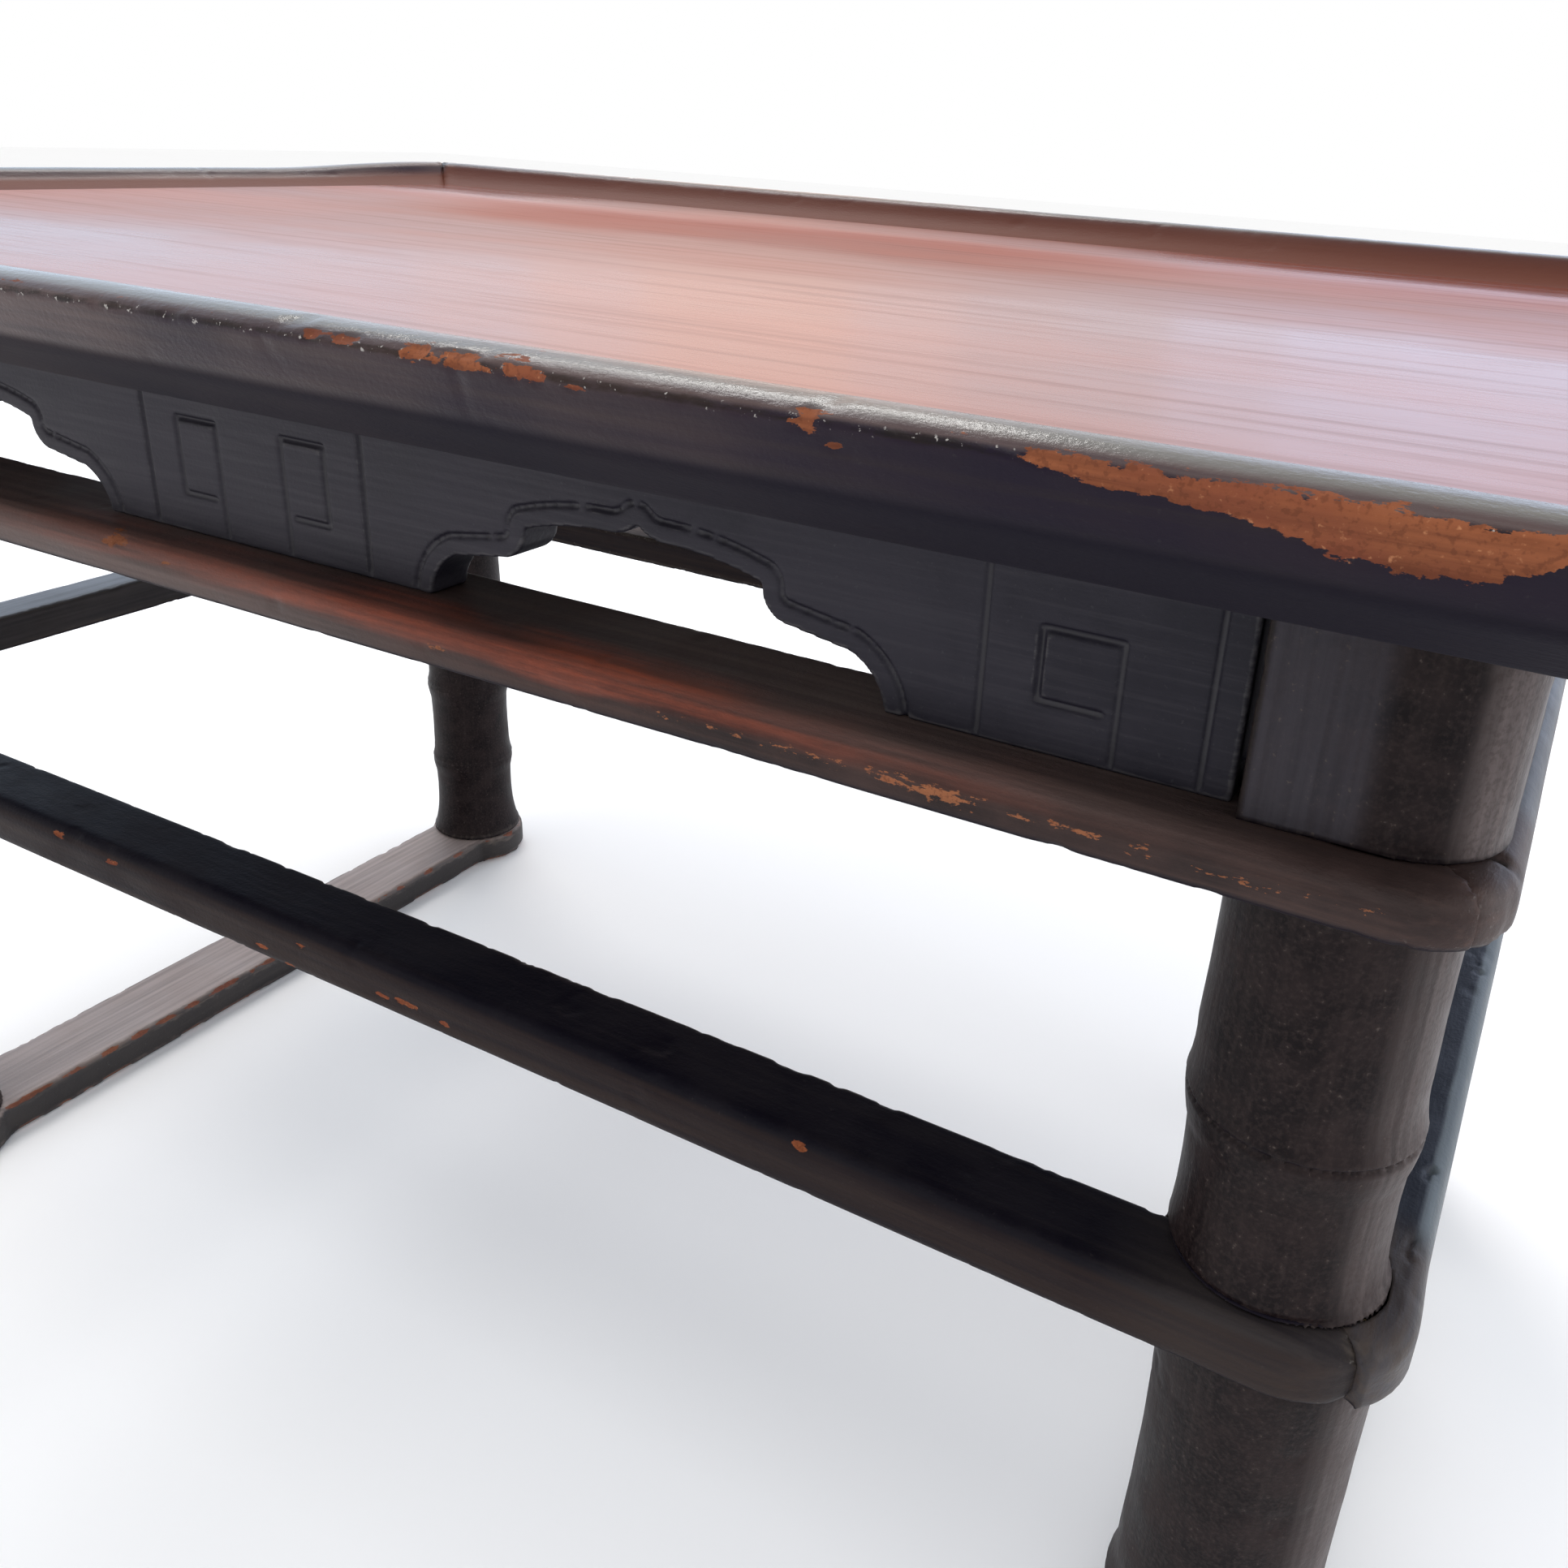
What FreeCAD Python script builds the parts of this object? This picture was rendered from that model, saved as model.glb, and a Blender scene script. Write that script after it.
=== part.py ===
import FreeCAD, Part
import math
import os

# A low rectangular tray table: rimmed top, pierced aprons, bamboo-node legs, two rings of rails, runners.
# Millimetres. The origin is on the floor under the middle of the top, X along the long side, front at -Y.

Vec = FreeCAD.Vector
UP = Vec(0, 0, 1)
CENTRE = Vec(0, 0, 0)

# Plan of the table
TOP_LENGTH = 456.0
TOP_WIDTH = 326.0
LEG_SPAN_X = 361.0
LEG_SPAN_Y = 220.0

# Levels above the floor
RUNNER_TOP = 10.0
STRETCHER_BOTTOM = 137.8
STRETCHER_TOP = 147.6
BELT_BOTTOM = 206.2
BELT_TOP = 214.0
BOARD_BOTTOM = 246.6
BOARD_TOP = 255.8
RIM_ARRIS = 261.2
RIM_CREST = 262.8

# Legs
LEG_R = 14.6
LEG_BOW = 0.01
LEG_HEAD_HALF = 14.0
LEG_HEAD_FRONT = 10.8
LEG_HEAD_SIDE = 14.3
LEG_HEAD_CORNER = 13.0
COLLAR_FLARE = 0.9
COLLAR_FLARE_RISE = 10.0
COLLAR_FLARE_SAG = 0.2
NODE_RISE = 0.9
NODE_ROLL = 6.0
NODE_ROLL_SAG = -0.15
NODE_FLARE = 9.0
NODE_FLARE_SAG = 0.3
NODE_LIP = 0.6
NODE_CREASE = 0.5
FRONT_LEG_NODES = (42.0, 77.0, 173.0)
BACK_LEG_NODES = (42.0, 74.0, 106.0, 173.0)
FOOT_FLARE_R = 17.0
FOOT_FLARE_TOP = 24.0
FOOT_FLARE_SAG = 0.5
TOP_TENON_R = 6.0
TOP_TENON_H = 5.0
FOOT_TENON_R = 7.0
FOOT_TENON_GAP = 0.6
FIT = 0.1

# Belt and stretcher sections, measured outwards from the line of the leg axes
BELT_OUTER = 16.8
BELT_BEND = 12.0
BELT_INNER = -5.0
BELT_NECK = 10.0
BELT_NOSE = 4.0
STRETCHER_OUTER = 17.2
STRETCHER_BEND = 15.0
STRETCHER_INNER = 2.0
STRETCHER_NECK = 12.4
STRETCHER_NOSE = 3.2
LOWER_ARRIS = 1.8

# Foot runners
RUNNER_HALF = 13.2
RUNNER_END_R = 18.0
RUNNER_ARRIS = 1.6

# Rim section, measured inwards from the outer edge
RIM_WIDTH = 22.0
RIM_CREST_IN = 4.6
RIM_CREST_END = 9.0
RIM_CREST_END_Z = 261.6
RIM_COVE_MID = 13.0
RIM_COVE_MID_Z = 257.6
RIM_FACE_FOOT = 2.4
RIM_FACE_FOOT_Z = 253.8
RIM_BEVEL_END = 15.0
RIM_CORNER_R = 9.0
TONGUE_LENGTH = 4.6
TONGUE_BOTTOM = 249.4
TONGUE_TOP = 252.6
KEY_LENGTH = 11.0
KEY_WIDTH = 5.0
KEY_HEIGHT = 2.6
KEY_BOTTOM = 252.9
KEY_IN = 11.5

# Aprons, measured outwards from the line of the leg axes
APRON_FACE = 7.4
APRON_THICK = 8.0
APRON_GAP = 1.5
APRON_TENON = 5.0
APRON_TENON_THICK = 4.0
APRON_TENON_LOW = 219.0
APRON_TENON_HIGH = 243.0
LONG_OPENINGS = (-78.6, 78.6)
SHORT_OPENINGS = (0.0,)

# Opening outline: half widths and heights above the foot of the apron, and how far its arcs bow
OPEN_FOOT = (40.0, 0.0)
OPEN_SHOULDER = (34.6, 7.3)
OPEN_LEDGE = (24.0, 9.0)
OPEN_LOBE = (20.6, 14.0)
OPEN_CUSP = (4.6, 16.4)
OPEN_POINT = (0.0, 18.3)
SHOULDER_SAG = -1.2
LOBE_SAG = 1.1
CUSP_SAG = -0.6
POINT_SAG = 0.5
OPEN_BELOW = -2.0
BEAD_OFFSET = 2.7
LINE_WIDTH = 0.9
LINE_DEPTH = 0.7

# Incised frets along each apron: upright lines, and hooks as stem, tail and height of the top
LONG_LINES = (25.6, 131.8, 161.0)
LONG_HOOKS = ((7.7, 17.3, 20.0), (149.8, 139.5, 16.5))
SHORT_LINES = (51.0, 90.5)
SHORT_HOOKS = ((79.3, 69.0, 16.5),)
FRET_FOOT = 0.8
FRET_TAIL = 7.0
FRET_TAIL_GAP = 1.8
LINE_HEAD = 24.8

# Bamboo nails and wedges
PEG_R = 1.4
PEG_DEPTH = 4.0
PEG_COVER = 1.0
PEG_ASIDE = 2.4
PEG_DROP = 1.0
FOOT_PEG_RISE = 7.0
FOOT_PEG_END = 30.0
END_PEG_COVER = 1.5
LONG_END_PEG_Z = 234.0
SHORT_END_PEG_Z = 226.0
WEDGE_THICK = 1.8
WEDGE_WIDTH = 11.0
WEDGE_HEIGHT = 7.0

HALF_X = LEG_SPAN_X / 2
HALF_Y = LEG_SPAN_Y / 2
DIAGONAL = math.sqrt(0.5)
NEAR = 0.01
MARGIN = 5.0

# Each side is drawn as the front and then turned into place: half length, distance out, turn in degrees.
SIDES = {
    "front": (HALF_X, HALF_Y, 0),
    "right": (HALF_Y, HALF_X, 90),
    "back": (HALF_X, HALF_Y, 180),
    "left": (HALF_Y, HALF_X, 270),
}
# Each leg is drawn as the front right one: its side along X and along Y, and its turn in degrees.
LEGS = {
    "leg_front_left": (-1, -1, 270),
    "leg_front_right": (1, -1, 0),
    "leg_back_left": (-1, 1, 180),
    "leg_back_right": (1, 1, 90),
}


def box(x0, x1, y0, y1, z0, z1):
    return Part.makeBox(x1 - x0, y1 - y0, z1 - z0, Vec(x0, y0, z0))


def turned(shape, angle):
    copy = shape.copy()
    copy.rotate(CENTRE, UP, angle)
    return copy


def line(p, q):
    return Part.LineSegment(p, q).toShape()


def arc(p, middle, q):
    return Part.Arc(p, middle, q).toShape()


def polygon_face(points):
    return Part.Face(Part.makePolygon(points + [points[0]]))


def bow(p, q, sag):
    """Middle of an arc from p to q, both pairs of numbers, that bows by sag to the left of its chord."""
    along = q[0] - p[0]
    up = q[1] - p[1]
    chord = math.hypot(along, up)
    return ((p[0] + q[0]) / 2 - sag * up / chord, (p[1] + q[1]) / 2 + sag * along / chord)


# Belts and stretchers

def ring_side_plan(half, out, outer, bend, inner, z):
    """Plan of one side of a ring of rails: a bar whose ends turn round the legs and stop at a mitre."""
    foot = out + outer
    past = outer - bend
    corner = past + bend * DIAGONAL
    bend_x = past + bend * math.sin(math.pi / 8)
    bend_y = past + bend * math.cos(math.pi / 8)
    right = Vec(half + past, -foot, z)
    right_end = Vec(half + corner, -out - corner, z)
    left = Vec(-half - past, -foot, z)
    left_end = Vec(-half - corner, -out - corner, z)
    inner_right = Vec(half + inner, -out - inner, z)
    inner_left = Vec(-half - inner, -out - inner, z)
    edges = [
        line(left, right),
        arc(right, Vec(half + bend_x, -out - bend_y, z), right_end),
        line(right_end, inner_right),
        line(inner_right, inner_left),
        line(inner_left, left_end),
        arc(left_end, Vec(-half - bend_x, -out - bend_y, z), left),
    ]
    return Part.Face(Part.Wire(edges))


def nose_edges(solid, half, out, outer, bend, z):
    """The outer edges of a ring side at one level: the straight front and the two quarter bends."""
    found = []
    for edge in solid.Edges:
        middle = edge.valueAt((edge.FirstParameter + edge.LastParameter) / 2)
        level = abs(edge.Vertexes[0].Z - edge.Vertexes[-1].Z) < NEAR
        if abs(middle.z - z) > NEAR or not level:
            continue
        beyond = max(abs(middle.x) - half - outer + bend, 0)
        reach = math.hypot(beyond, middle.y + out + outer - bend)
        if abs(reach - bend) < NEAR:
            found.append(edge)
    return found


def ring_side(half, out, plan, neck, bottom, top, nose):
    """One side of a ring; plan is how far it goes out, the bend of its corners and its inner edge."""
    outer, bend, inner = plan
    solid = ring_side_plan(half, out, outer, bend, inner, bottom).extrude(UP * (top - bottom))
    if nose:
        solid = solid.makeFillet(nose, nose_edges(solid, half, out, outer, bend, top))
        solid = solid.makeFillet(LOWER_ARRIS, nose_edges(solid, half, out, outer, bend, bottom))
    necks = [Part.makeCylinder(neck + FIT, top - bottom, Vec(x, -out, bottom)) for x in (-half, half)]
    return solid.cut(necks)


def belt(half, out, nose=BELT_NOSE):
    plan = (BELT_OUTER, BELT_BEND, BELT_INNER)
    return ring_side(half, out, plan, BELT_NECK, BELT_BOTTOM, BELT_TOP, nose)


def stretcher(half, out, nose=STRETCHER_NOSE):
    plan = (STRETCHER_OUTER, STRETCHER_BEND, STRETCHER_INNER)
    return ring_side(half, out, plan, STRETCHER_NECK, STRETCHER_BOTTOM, STRETCHER_TOP, nose)


# Bamboo nails

def ring_pegs(half, out, outer, neck, bottom, top):
    """Nails through one side of a ring into the necks of its two legs."""
    z = (bottom + top) / 2 - PEG_DROP
    start = out + outer - PEG_COVER
    length = outer - neck + PEG_DEPTH
    return [
        Part.makeCylinder(PEG_R, length, Vec(x, -start, z), Vec(0, 1, 0))
        for x in (-half - PEG_ASIDE, half + PEG_ASIDE)
    ]


def belt_pegs(half, out):
    return ring_pegs(half, out, BELT_OUTER, BELT_NECK, BELT_BOTTOM, BELT_TOP)


def stretcher_pegs(half, out):
    return ring_pegs(half, out, STRETCHER_OUTER, STRETCHER_NECK, STRETCHER_BOTTOM, STRETCHER_TOP)


def foot_peg_places(half, openings):
    """One nail near each end of the apron, and one in the middle where a foot stands there."""
    end = half - FOOT_PEG_END
    if len(openings) > 1:
        return (-end, 0.0, end)
    return (-end, end)


def apron_foot_pegs(half, out, openings):
    y = -out - APRON_FACE + APRON_THICK / 2
    height = BELT_TOP - BELT_BOTTOM + FOOT_PEG_RISE
    return [
        Part.makeCylinder(PEG_R, height, Vec(x, y, BELT_BOTTOM))
        for x in foot_peg_places(half, openings)
    ]


def apron_end_pegs(half, out):
    """Nails from the inner face of each leg through the end tenon of the apron."""
    z = LONG_END_PEG_Z if half > out else SHORT_END_PEG_Z
    reach = half - LEG_HEAD_HALF + APRON_TENON / 2
    length = LEG_HEAD_HALF + APRON_FACE - END_PEG_COVER
    return [
        Part.makeCylinder(PEG_R, length, Vec(x, -out + LEG_HEAD_HALF, z), Vec(0, -1, 0))
        for x in (-reach, reach)
    ]


# Aprons

def opening_outline(centre, y):
    """Closed outline of one pierced opening: a bracketed arch with a pointed crown, open at the foot."""
    below = (OPEN_FOOT[0], OPEN_BELOW)

    def at(point, side):
        return Vec(centre + side * point[0], y, BELT_TOP + point[1])

    def bowed(p, q, sag, side):
        return arc(at(p, side), at(bow(p, q, sag), side), at(q, side))

    edges = [line(at(below, -1), at(below, 1))]
    for side in (1, -1):
        edges += [
            line(at(below, side), at(OPEN_FOOT, side)),
            bowed(OPEN_FOOT, OPEN_SHOULDER, SHOULDER_SAG, side),
            line(at(OPEN_SHOULDER, side), at(OPEN_LEDGE, side)),
            bowed(OPEN_LEDGE, OPEN_LOBE, LOBE_SAG, side),
            bowed(OPEN_LOBE, OPEN_CUSP, CUSP_SAG, side),
            bowed(OPEN_CUSP, OPEN_POINT, POINT_SAG, side),
        ]
    return Part.Wire(Part.__sortEdges__(edges))


def prism_y(wire, depth):
    return Part.Face(wire).extrude(Vec(0, depth, 0))


def bead_groove(centre, face_y):
    """An incised line that runs round an opening, parallel to its edge."""
    outline = opening_outline(centre, face_y)
    wide = prism_y(outline.makeOffset2D(BEAD_OFFSET + LINE_WIDTH), LINE_DEPTH)
    narrow = prism_y(outline.makeOffset2D(BEAD_OFFSET), LINE_DEPTH)
    return wide.cut(narrow)


def incised(x0, z0, x1, z1, face_y):
    """A straight incised line between two points given along the apron and above its foot."""
    pad = LINE_WIDTH / 2
    left = min(x0, x1) - pad
    right = max(x0, x1) + pad
    low = BELT_TOP + min(z0, z1) - pad
    high = BELT_TOP + max(z0, z1) + pad
    return box(left, right, face_y, face_y + LINE_DEPTH, low, high)


def fret_hook(stem, tail, top, face_y):
    """A square spiral: up the stem, across, down the far side and back towards the stem."""
    step = FRET_TAIL_GAP if tail > stem else -FRET_TAIL_GAP
    return [
        incised(stem, FRET_FOOT, stem, top, face_y),
        incised(stem, top, tail, top, face_y),
        incised(tail, top, tail, FRET_TAIL, face_y),
        incised(tail, FRET_TAIL, stem + step, FRET_TAIL, face_y),
    ]


def apron(half, out, openings, lines, hooks):
    """A pierced board with end tenons; a head line closes the panel between two openings."""
    shoulder = half - LEG_HEAD_HALF - APRON_GAP
    tenon_end = half - LEG_HEAD_HALF + APRON_TENON
    face_y = -out - APRON_FACE
    back_y = face_y + APRON_THICK
    tenon_y = face_y + (APRON_THICK - APRON_TENON_THICK) / 2
    board = box(-shoulder, shoulder, face_y, back_y, BELT_TOP, BOARD_BOTTOM)
    tenon_back = tenon_y + APRON_TENON_THICK
    tenon = box(-tenon_end, tenon_end, tenon_y, tenon_back, APRON_TENON_LOW, APRON_TENON_HIGH)
    cuts = []
    for centre in openings:
        cuts.append(prism_y(opening_outline(centre, face_y), APRON_THICK))
        cuts.append(bead_groove(centre, face_y))
    if len(openings) > 1:
        cuts.append(incised(-lines[0], LINE_HEAD, lines[0], LINE_HEAD, face_y))
    for side in (-1, 1):
        for x in lines:
            cuts.append(incised(side * x, FRET_FOOT, side * x, LINE_HEAD, face_y))
        for stem, tail, top in hooks:
            cuts += fret_hook(side * stem, side * tail, top, face_y)
    cuts += apron_foot_pegs(half, out, openings)
    cuts += apron_end_pegs(half, out)
    return board.fuse(tenon).cut(cuts).removeSplitter()


def apron_mortises(half, out):
    end = half - LEG_HEAD_HALF + APRON_TENON + FIT
    tenon_y = -out - APRON_FACE + (APRON_THICK - APRON_TENON_THICK) / 2
    return box(-end, end, tenon_y, tenon_y + APRON_TENON_THICK, APRON_TENON_LOW, APRON_TENON_HIGH)


# Legs

def leg_profile(nodes):
    """Half section of the round shaft, from the runner to the upper belt, with a roll at each node.

    Between nodes the shaft bows in by a share of its length there."""

    def at(point):
        return Vec(point[0], 0, point[1])

    def straight(p, q):
        return line(at(p), at(q))

    def bowed(p, q, sag):
        return arc(at(p), at(bow(p, q, sag)), at(q))

    def shaft(p, q):
        return bowed(p, q, LEG_BOW * (q[1] - p[1]))

    foot = (0, RUNNER_TOP)
    flare = (FOOT_FLARE_R, RUNNER_TOP)
    here = (LEG_R, FOOT_FLARE_TOP)
    edges = [straight(foot, flare), bowed(flare, here, FOOT_FLARE_SAG)]
    crown = LEG_R + NODE_RISE
    for z in nodes:
        if here[1] < STRETCHER_BOTTOM < z:
            under_collar = (LEG_R, STRETCHER_BOTTOM)
            on_collar = (LEG_R + COLLAR_FLARE, STRETCHER_TOP)
            over_collar = (LEG_R, STRETCHER_TOP + COLLAR_FLARE_RISE)
            edges += [
                shaft(here, under_collar),
                straight(under_collar, on_collar),
                bowed(on_collar, over_collar, COLLAR_FLARE_SAG),
            ]
            here = over_collar
        low = (LEG_R, z - NODE_ROLL)
        lower_lip = (crown, z - NODE_LIP)
        crease = (crown - NODE_CREASE, z)
        upper_lip = (crown, z + NODE_LIP)
        high = (LEG_R, z + NODE_FLARE)
        edges += [
            shaft(here, low),
            bowed(low, lower_lip, NODE_ROLL_SAG),
            straight(lower_lip, crease),
            straight(crease, upper_lip),
            bowed(upper_lip, high, NODE_FLARE_SAG),
        ]
        here = high
    top = (LEG_R, BELT_TOP)
    axis_top = (0, BELT_TOP)
    edges += [shaft(here, top), straight(top, axis_top), straight(axis_top, foot)]
    return Part.Face(Part.Wire(edges))


def leg_head(front, side):
    """Head above the belt, round on the outer corner; front right leg."""
    half = LEG_HEAD_HALF
    bend_x = side - LEG_HEAD_CORNER
    bend_y = LEG_HEAD_CORNER - front
    slant = LEG_HEAD_CORNER * DIAGONAL
    front_left = Vec(-half, -front, BELT_TOP)
    bend_start = Vec(bend_x, -front, BELT_TOP)
    bend_end = Vec(side, bend_y, BELT_TOP)
    back_right = Vec(side, half, BELT_TOP)
    back_left = Vec(-half, half, BELT_TOP)
    edges = [
        line(front_left, bend_start),
        arc(bend_start, Vec(bend_x + slant, bend_y - slant, BELT_TOP), bend_end),
        line(bend_end, back_right),
        line(back_right, back_left),
        line(back_left, front_left),
    ]
    return Part.Face(Part.Wire(edges)).extrude(UP * (BOARD_BOTTOM - BELT_TOP))


def foot_wedges():
    """A wedge in the foot of each leg, set across the grain of the runner so that it doesn't split it."""
    top = FOOT_TENON_GAP + WEDGE_HEIGHT
    wide = WEDGE_WIDTH / 2
    thick = WEDGE_THICK / 2
    made = []
    for side_x, side_y, turn in LEGS.values():
        piece = box(-wide, wide, -thick, thick, FOOT_TENON_GAP, top)
        piece.translate(Vec(side_x * HALF_X, side_y * HALF_Y, 0))
        made.append(piece)
    return made


def leg_blank(nodes, front, side):
    shaft = leg_profile(nodes).revolve(CENTRE, UP, 360)
    top_tenon = Part.makeCylinder(TOP_TENON_R, TOP_TENON_H, Vec(0, 0, BOARD_BOTTOM))
    foot_tenon = Part.makeCylinder(FOOT_TENON_R, RUNNER_TOP - FOOT_TENON_GAP, Vec(0, 0, FOOT_TENON_GAP))
    return shaft.fuse([leg_head(front, side), top_tenon, foot_tenon])


def rail_seats():
    """What the belts, stretchers, apron tenons and nails take out of the legs."""
    seats = []
    for half, out, angle in SIDES.values():
        cutters = [belt(half, out, nose=0), stretcher(half, out, nose=0), apron_mortises(half, out)]
        cutters += belt_pegs(half, out) + stretcher_pegs(half, out) + apron_end_pegs(half, out)
        seats += [turned(cutter, angle) for cutter in cutters]
    return seats


def legs():
    seats = rail_seats() + foot_wedges()
    made = {}
    for name, (side_x, side_y, turn) in LEGS.items():
        nodes = FRONT_LEG_NODES if side_y < 0 else BACK_LEG_NODES
        front, side = LEG_HEAD_FRONT, LEG_HEAD_SIDE
        if turn % 180:
            front, side = side, front
        leg = turned(leg_blank(nodes, front, side), turn)
        leg.translate(Vec(side_x * HALF_X, side_y * HALF_Y, 0))
        made[name] = leg.cut(seats).removeSplitter()
    return made


# Runners

def runner(side_x):
    x = side_x * HALF_X
    bar = box(x - RUNNER_HALF, x + RUNNER_HALF, -HALF_Y, HALF_Y, 0, RUNNER_TOP)
    ends = [Part.makeCylinder(RUNNER_END_R, RUNNER_TOP, Vec(x, y, 0)) for y in (-HALF_Y, HALF_Y)]
    body = bar.fuse(ends).removeSplitter()
    rims = [edge for edge in body.Edges if abs(edge.BoundBox.ZMin - RUNNER_TOP) < NEAR]
    body = body.makeFillet(RUNNER_ARRIS, rims)
    mortises = [Part.makeCylinder(FOOT_TENON_R + FIT, RUNNER_TOP, Vec(x, y, 0)) for y in (-HALF_Y, HALF_Y)]
    return body.cut(mortises)


# Top

def rim_profile(out):
    """Section of the front rim in the YZ plane: crest, cove down to the board, groove, bevelled underside."""

    def at(inwards, z):
        return Vec(0, -out + inwards, z)

    arris = at(0, RIM_ARRIS)
    crest = at(RIM_CREST_IN, RIM_CREST)
    crest_end = at(RIM_CREST_END, RIM_CREST_END_Z)
    cove_mid = at(RIM_COVE_MID, RIM_COVE_MID_Z)
    cove_end = at(RIM_WIDTH, BOARD_TOP)
    groove_in = RIM_WIDTH - TONGUE_LENGTH - FIT
    straight = [
        cove_end,
        at(RIM_WIDTH, TONGUE_TOP + FIT),
        at(groove_in, TONGUE_TOP + FIT),
        at(groove_in, TONGUE_BOTTOM - FIT),
        at(RIM_WIDTH, TONGUE_BOTTOM - FIT),
        at(RIM_WIDTH, BOARD_BOTTOM),
        at(RIM_BEVEL_END, BOARD_BOTTOM),
        at(RIM_FACE_FOOT, RIM_FACE_FOOT_Z),
        arris,
    ]
    edges = [arc(arris, crest, crest_end), arc(crest_end, cove_mid, cove_end)]
    edges += [line(p, q) for p, q in zip(straight, straight[1:])]
    return Part.Face(Part.Wire(edges))


def corner_rounding(half_length, out):
    """What rounds off the outer corner at the right-hand end of the front rim."""
    r = RIM_CORNER_R
    x = half_length - r
    y = -out + r
    low = BOARD_BOTTOM - MARGIN
    swing = r * DIAGONAL
    bend_start = Vec(x, -out, low)
    bend_end = Vec(half_length, y, low)
    outside = [bend_end, Vec(half_length + MARGIN, y, low), Vec(half_length + MARGIN, -out - MARGIN, low)]
    outside += [Vec(x, -out - MARGIN, low), bend_start]
    edges = [arc(bend_start, Vec(x + swing, y - swing, low), bend_end)]
    edges += [line(p, q) for p, q in zip(outside, outside[1:])]
    return Part.Face(Part.Wire(edges)).extrude(UP * (RIM_CREST - low + MARGIN))


def corner_key(half_length, out):
    """Loose tongue across the mitre at the right-hand end of the front rim."""
    wide = KEY_WIDTH / 2
    long = KEY_LENGTH / 2
    key = box(-wide, wide, -long, long, KEY_BOTTOM, KEY_BOTTOM + KEY_HEIGHT)
    key.rotate(CENTRE, UP, -45)
    key.translate(Vec(half_length - KEY_IN, -out + KEY_IN, 0))
    return key


def mirrored_x(shape):
    return shape.mirror(CENTRE, Vec(1, 0, 0))


def rim(half_length, out):
    bar = rim_profile(out).extrude(Vec(2 * half_length, 0, 0))
    bar.translate(Vec(-half_length, 0, 0))
    wide = half_length + MARGIN
    narrow = half_length - RIM_WIDTH - MARGIN
    outer_y = -out - MARGIN
    inner_y = -out + RIM_WIDTH + MARGIN
    plan = [Vec(-wide, outer_y, 0), Vec(wide, outer_y, 0), Vec(narrow, inner_y, 0), Vec(-narrow, inner_y, 0)]
    mitres = polygon_face(plan).extrude(UP * (RIM_CREST + MARGIN))
    cuts = [corner_rounding(half_length, out), corner_key(half_length, out)]
    cuts += [mirrored_x(cut) for cut in cuts]
    return bar.common(mitres).cut(cuts)


def rims():
    plans = {
        "front": (TOP_LENGTH / 2, TOP_WIDTH / 2),
        "right": (TOP_WIDTH / 2, TOP_LENGTH / 2),
        "back": (TOP_LENGTH / 2, TOP_WIDTH / 2),
        "left": (TOP_WIDTH / 2, TOP_LENGTH / 2),
    }
    return {
        "rim_" + side: turned(rim(*plans[side]), SIDES[side][2])
        for side in SIDES
    }


def corner_keys():
    right = corner_key(TOP_LENGTH / 2, TOP_WIDTH / 2)
    front = [right, mirrored_x(right)]
    return front + [turned(key, 180) for key in front]


def top_panel():
    half_x = TOP_LENGTH / 2 - RIM_WIDTH
    half_y = TOP_WIDTH / 2 - RIM_WIDTH
    board = box(-half_x, half_x, -half_y, half_y, BOARD_BOTTOM, BOARD_TOP)
    reach_x = half_x + TONGUE_LENGTH
    reach_y = half_y + TONGUE_LENGTH
    tongue = box(-reach_x, reach_x, -reach_y, reach_y, TONGUE_BOTTOM, TONGUE_TOP)
    mortises = [
        Part.makeCylinder(TOP_TENON_R + FIT, TOP_TENON_H + FIT, Vec(sx * HALF_X, sy * HALF_Y, BOARD_BOTTOM))
        for sx, sy, turn in LEGS.values()
    ]
    return board.fuse(tongue).cut(mortises).removeSplitter()


# Assembly

def pieces():
    made = {"top_panel": top_panel()}
    made.update(rims())
    made.update(legs())
    groups = {"belt_pegs": [], "stretcher_pegs": [], "apron_foot_pegs": [], "apron_end_pegs": []}
    for side, (half, out, angle) in SIDES.items():
        long_side = side in ("front", "back")
        openings = LONG_OPENINGS if long_side else SHORT_OPENINGS
        lines = LONG_LINES if long_side else SHORT_LINES
        hooks = LONG_HOOKS if long_side else SHORT_HOOKS
        pegs = {
            "belt_pegs": belt_pegs(half, out),
            "stretcher_pegs": stretcher_pegs(half, out),
            "apron_foot_pegs": apron_foot_pegs(half, out, openings),
            "apron_end_pegs": apron_end_pegs(half, out),
        }
        rail = belt(half, out).cut(pegs["belt_pegs"] + pegs["apron_foot_pegs"])
        made["belt_" + side] = turned(rail, angle)
        made["stretcher_" + side] = turned(stretcher(half, out).cut(pegs["stretcher_pegs"]), angle)
        made["apron_" + side] = turned(apron(half, out, openings, lines, hooks), angle)
        for group, members in pegs.items():
            groups[group] += [turned(peg, angle) for peg in members]
    groups["rim_corner_tongues"] = corner_keys()
    groups["foot_wedges"] = foot_wedges()
    for group, members in groups.items():
        made[group] = Part.makeCompound(members)
    made["runner_left"] = runner(-1)
    made["runner_right"] = runner(1)
    return made


def main():
    os.makedirs("parts", exist_ok=True)
    for name, shape in pieces().items():
        shape.exportStep("parts/" + name + ".step")
        print(name, "solids", len(shape.Solids), "valid", shape.isValid(), "volume", round(shape.Volume, 1))


main()
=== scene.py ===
import math
import bmesh
import bpy
import numpy as np
from mathutils import Matrix, Vector


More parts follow.
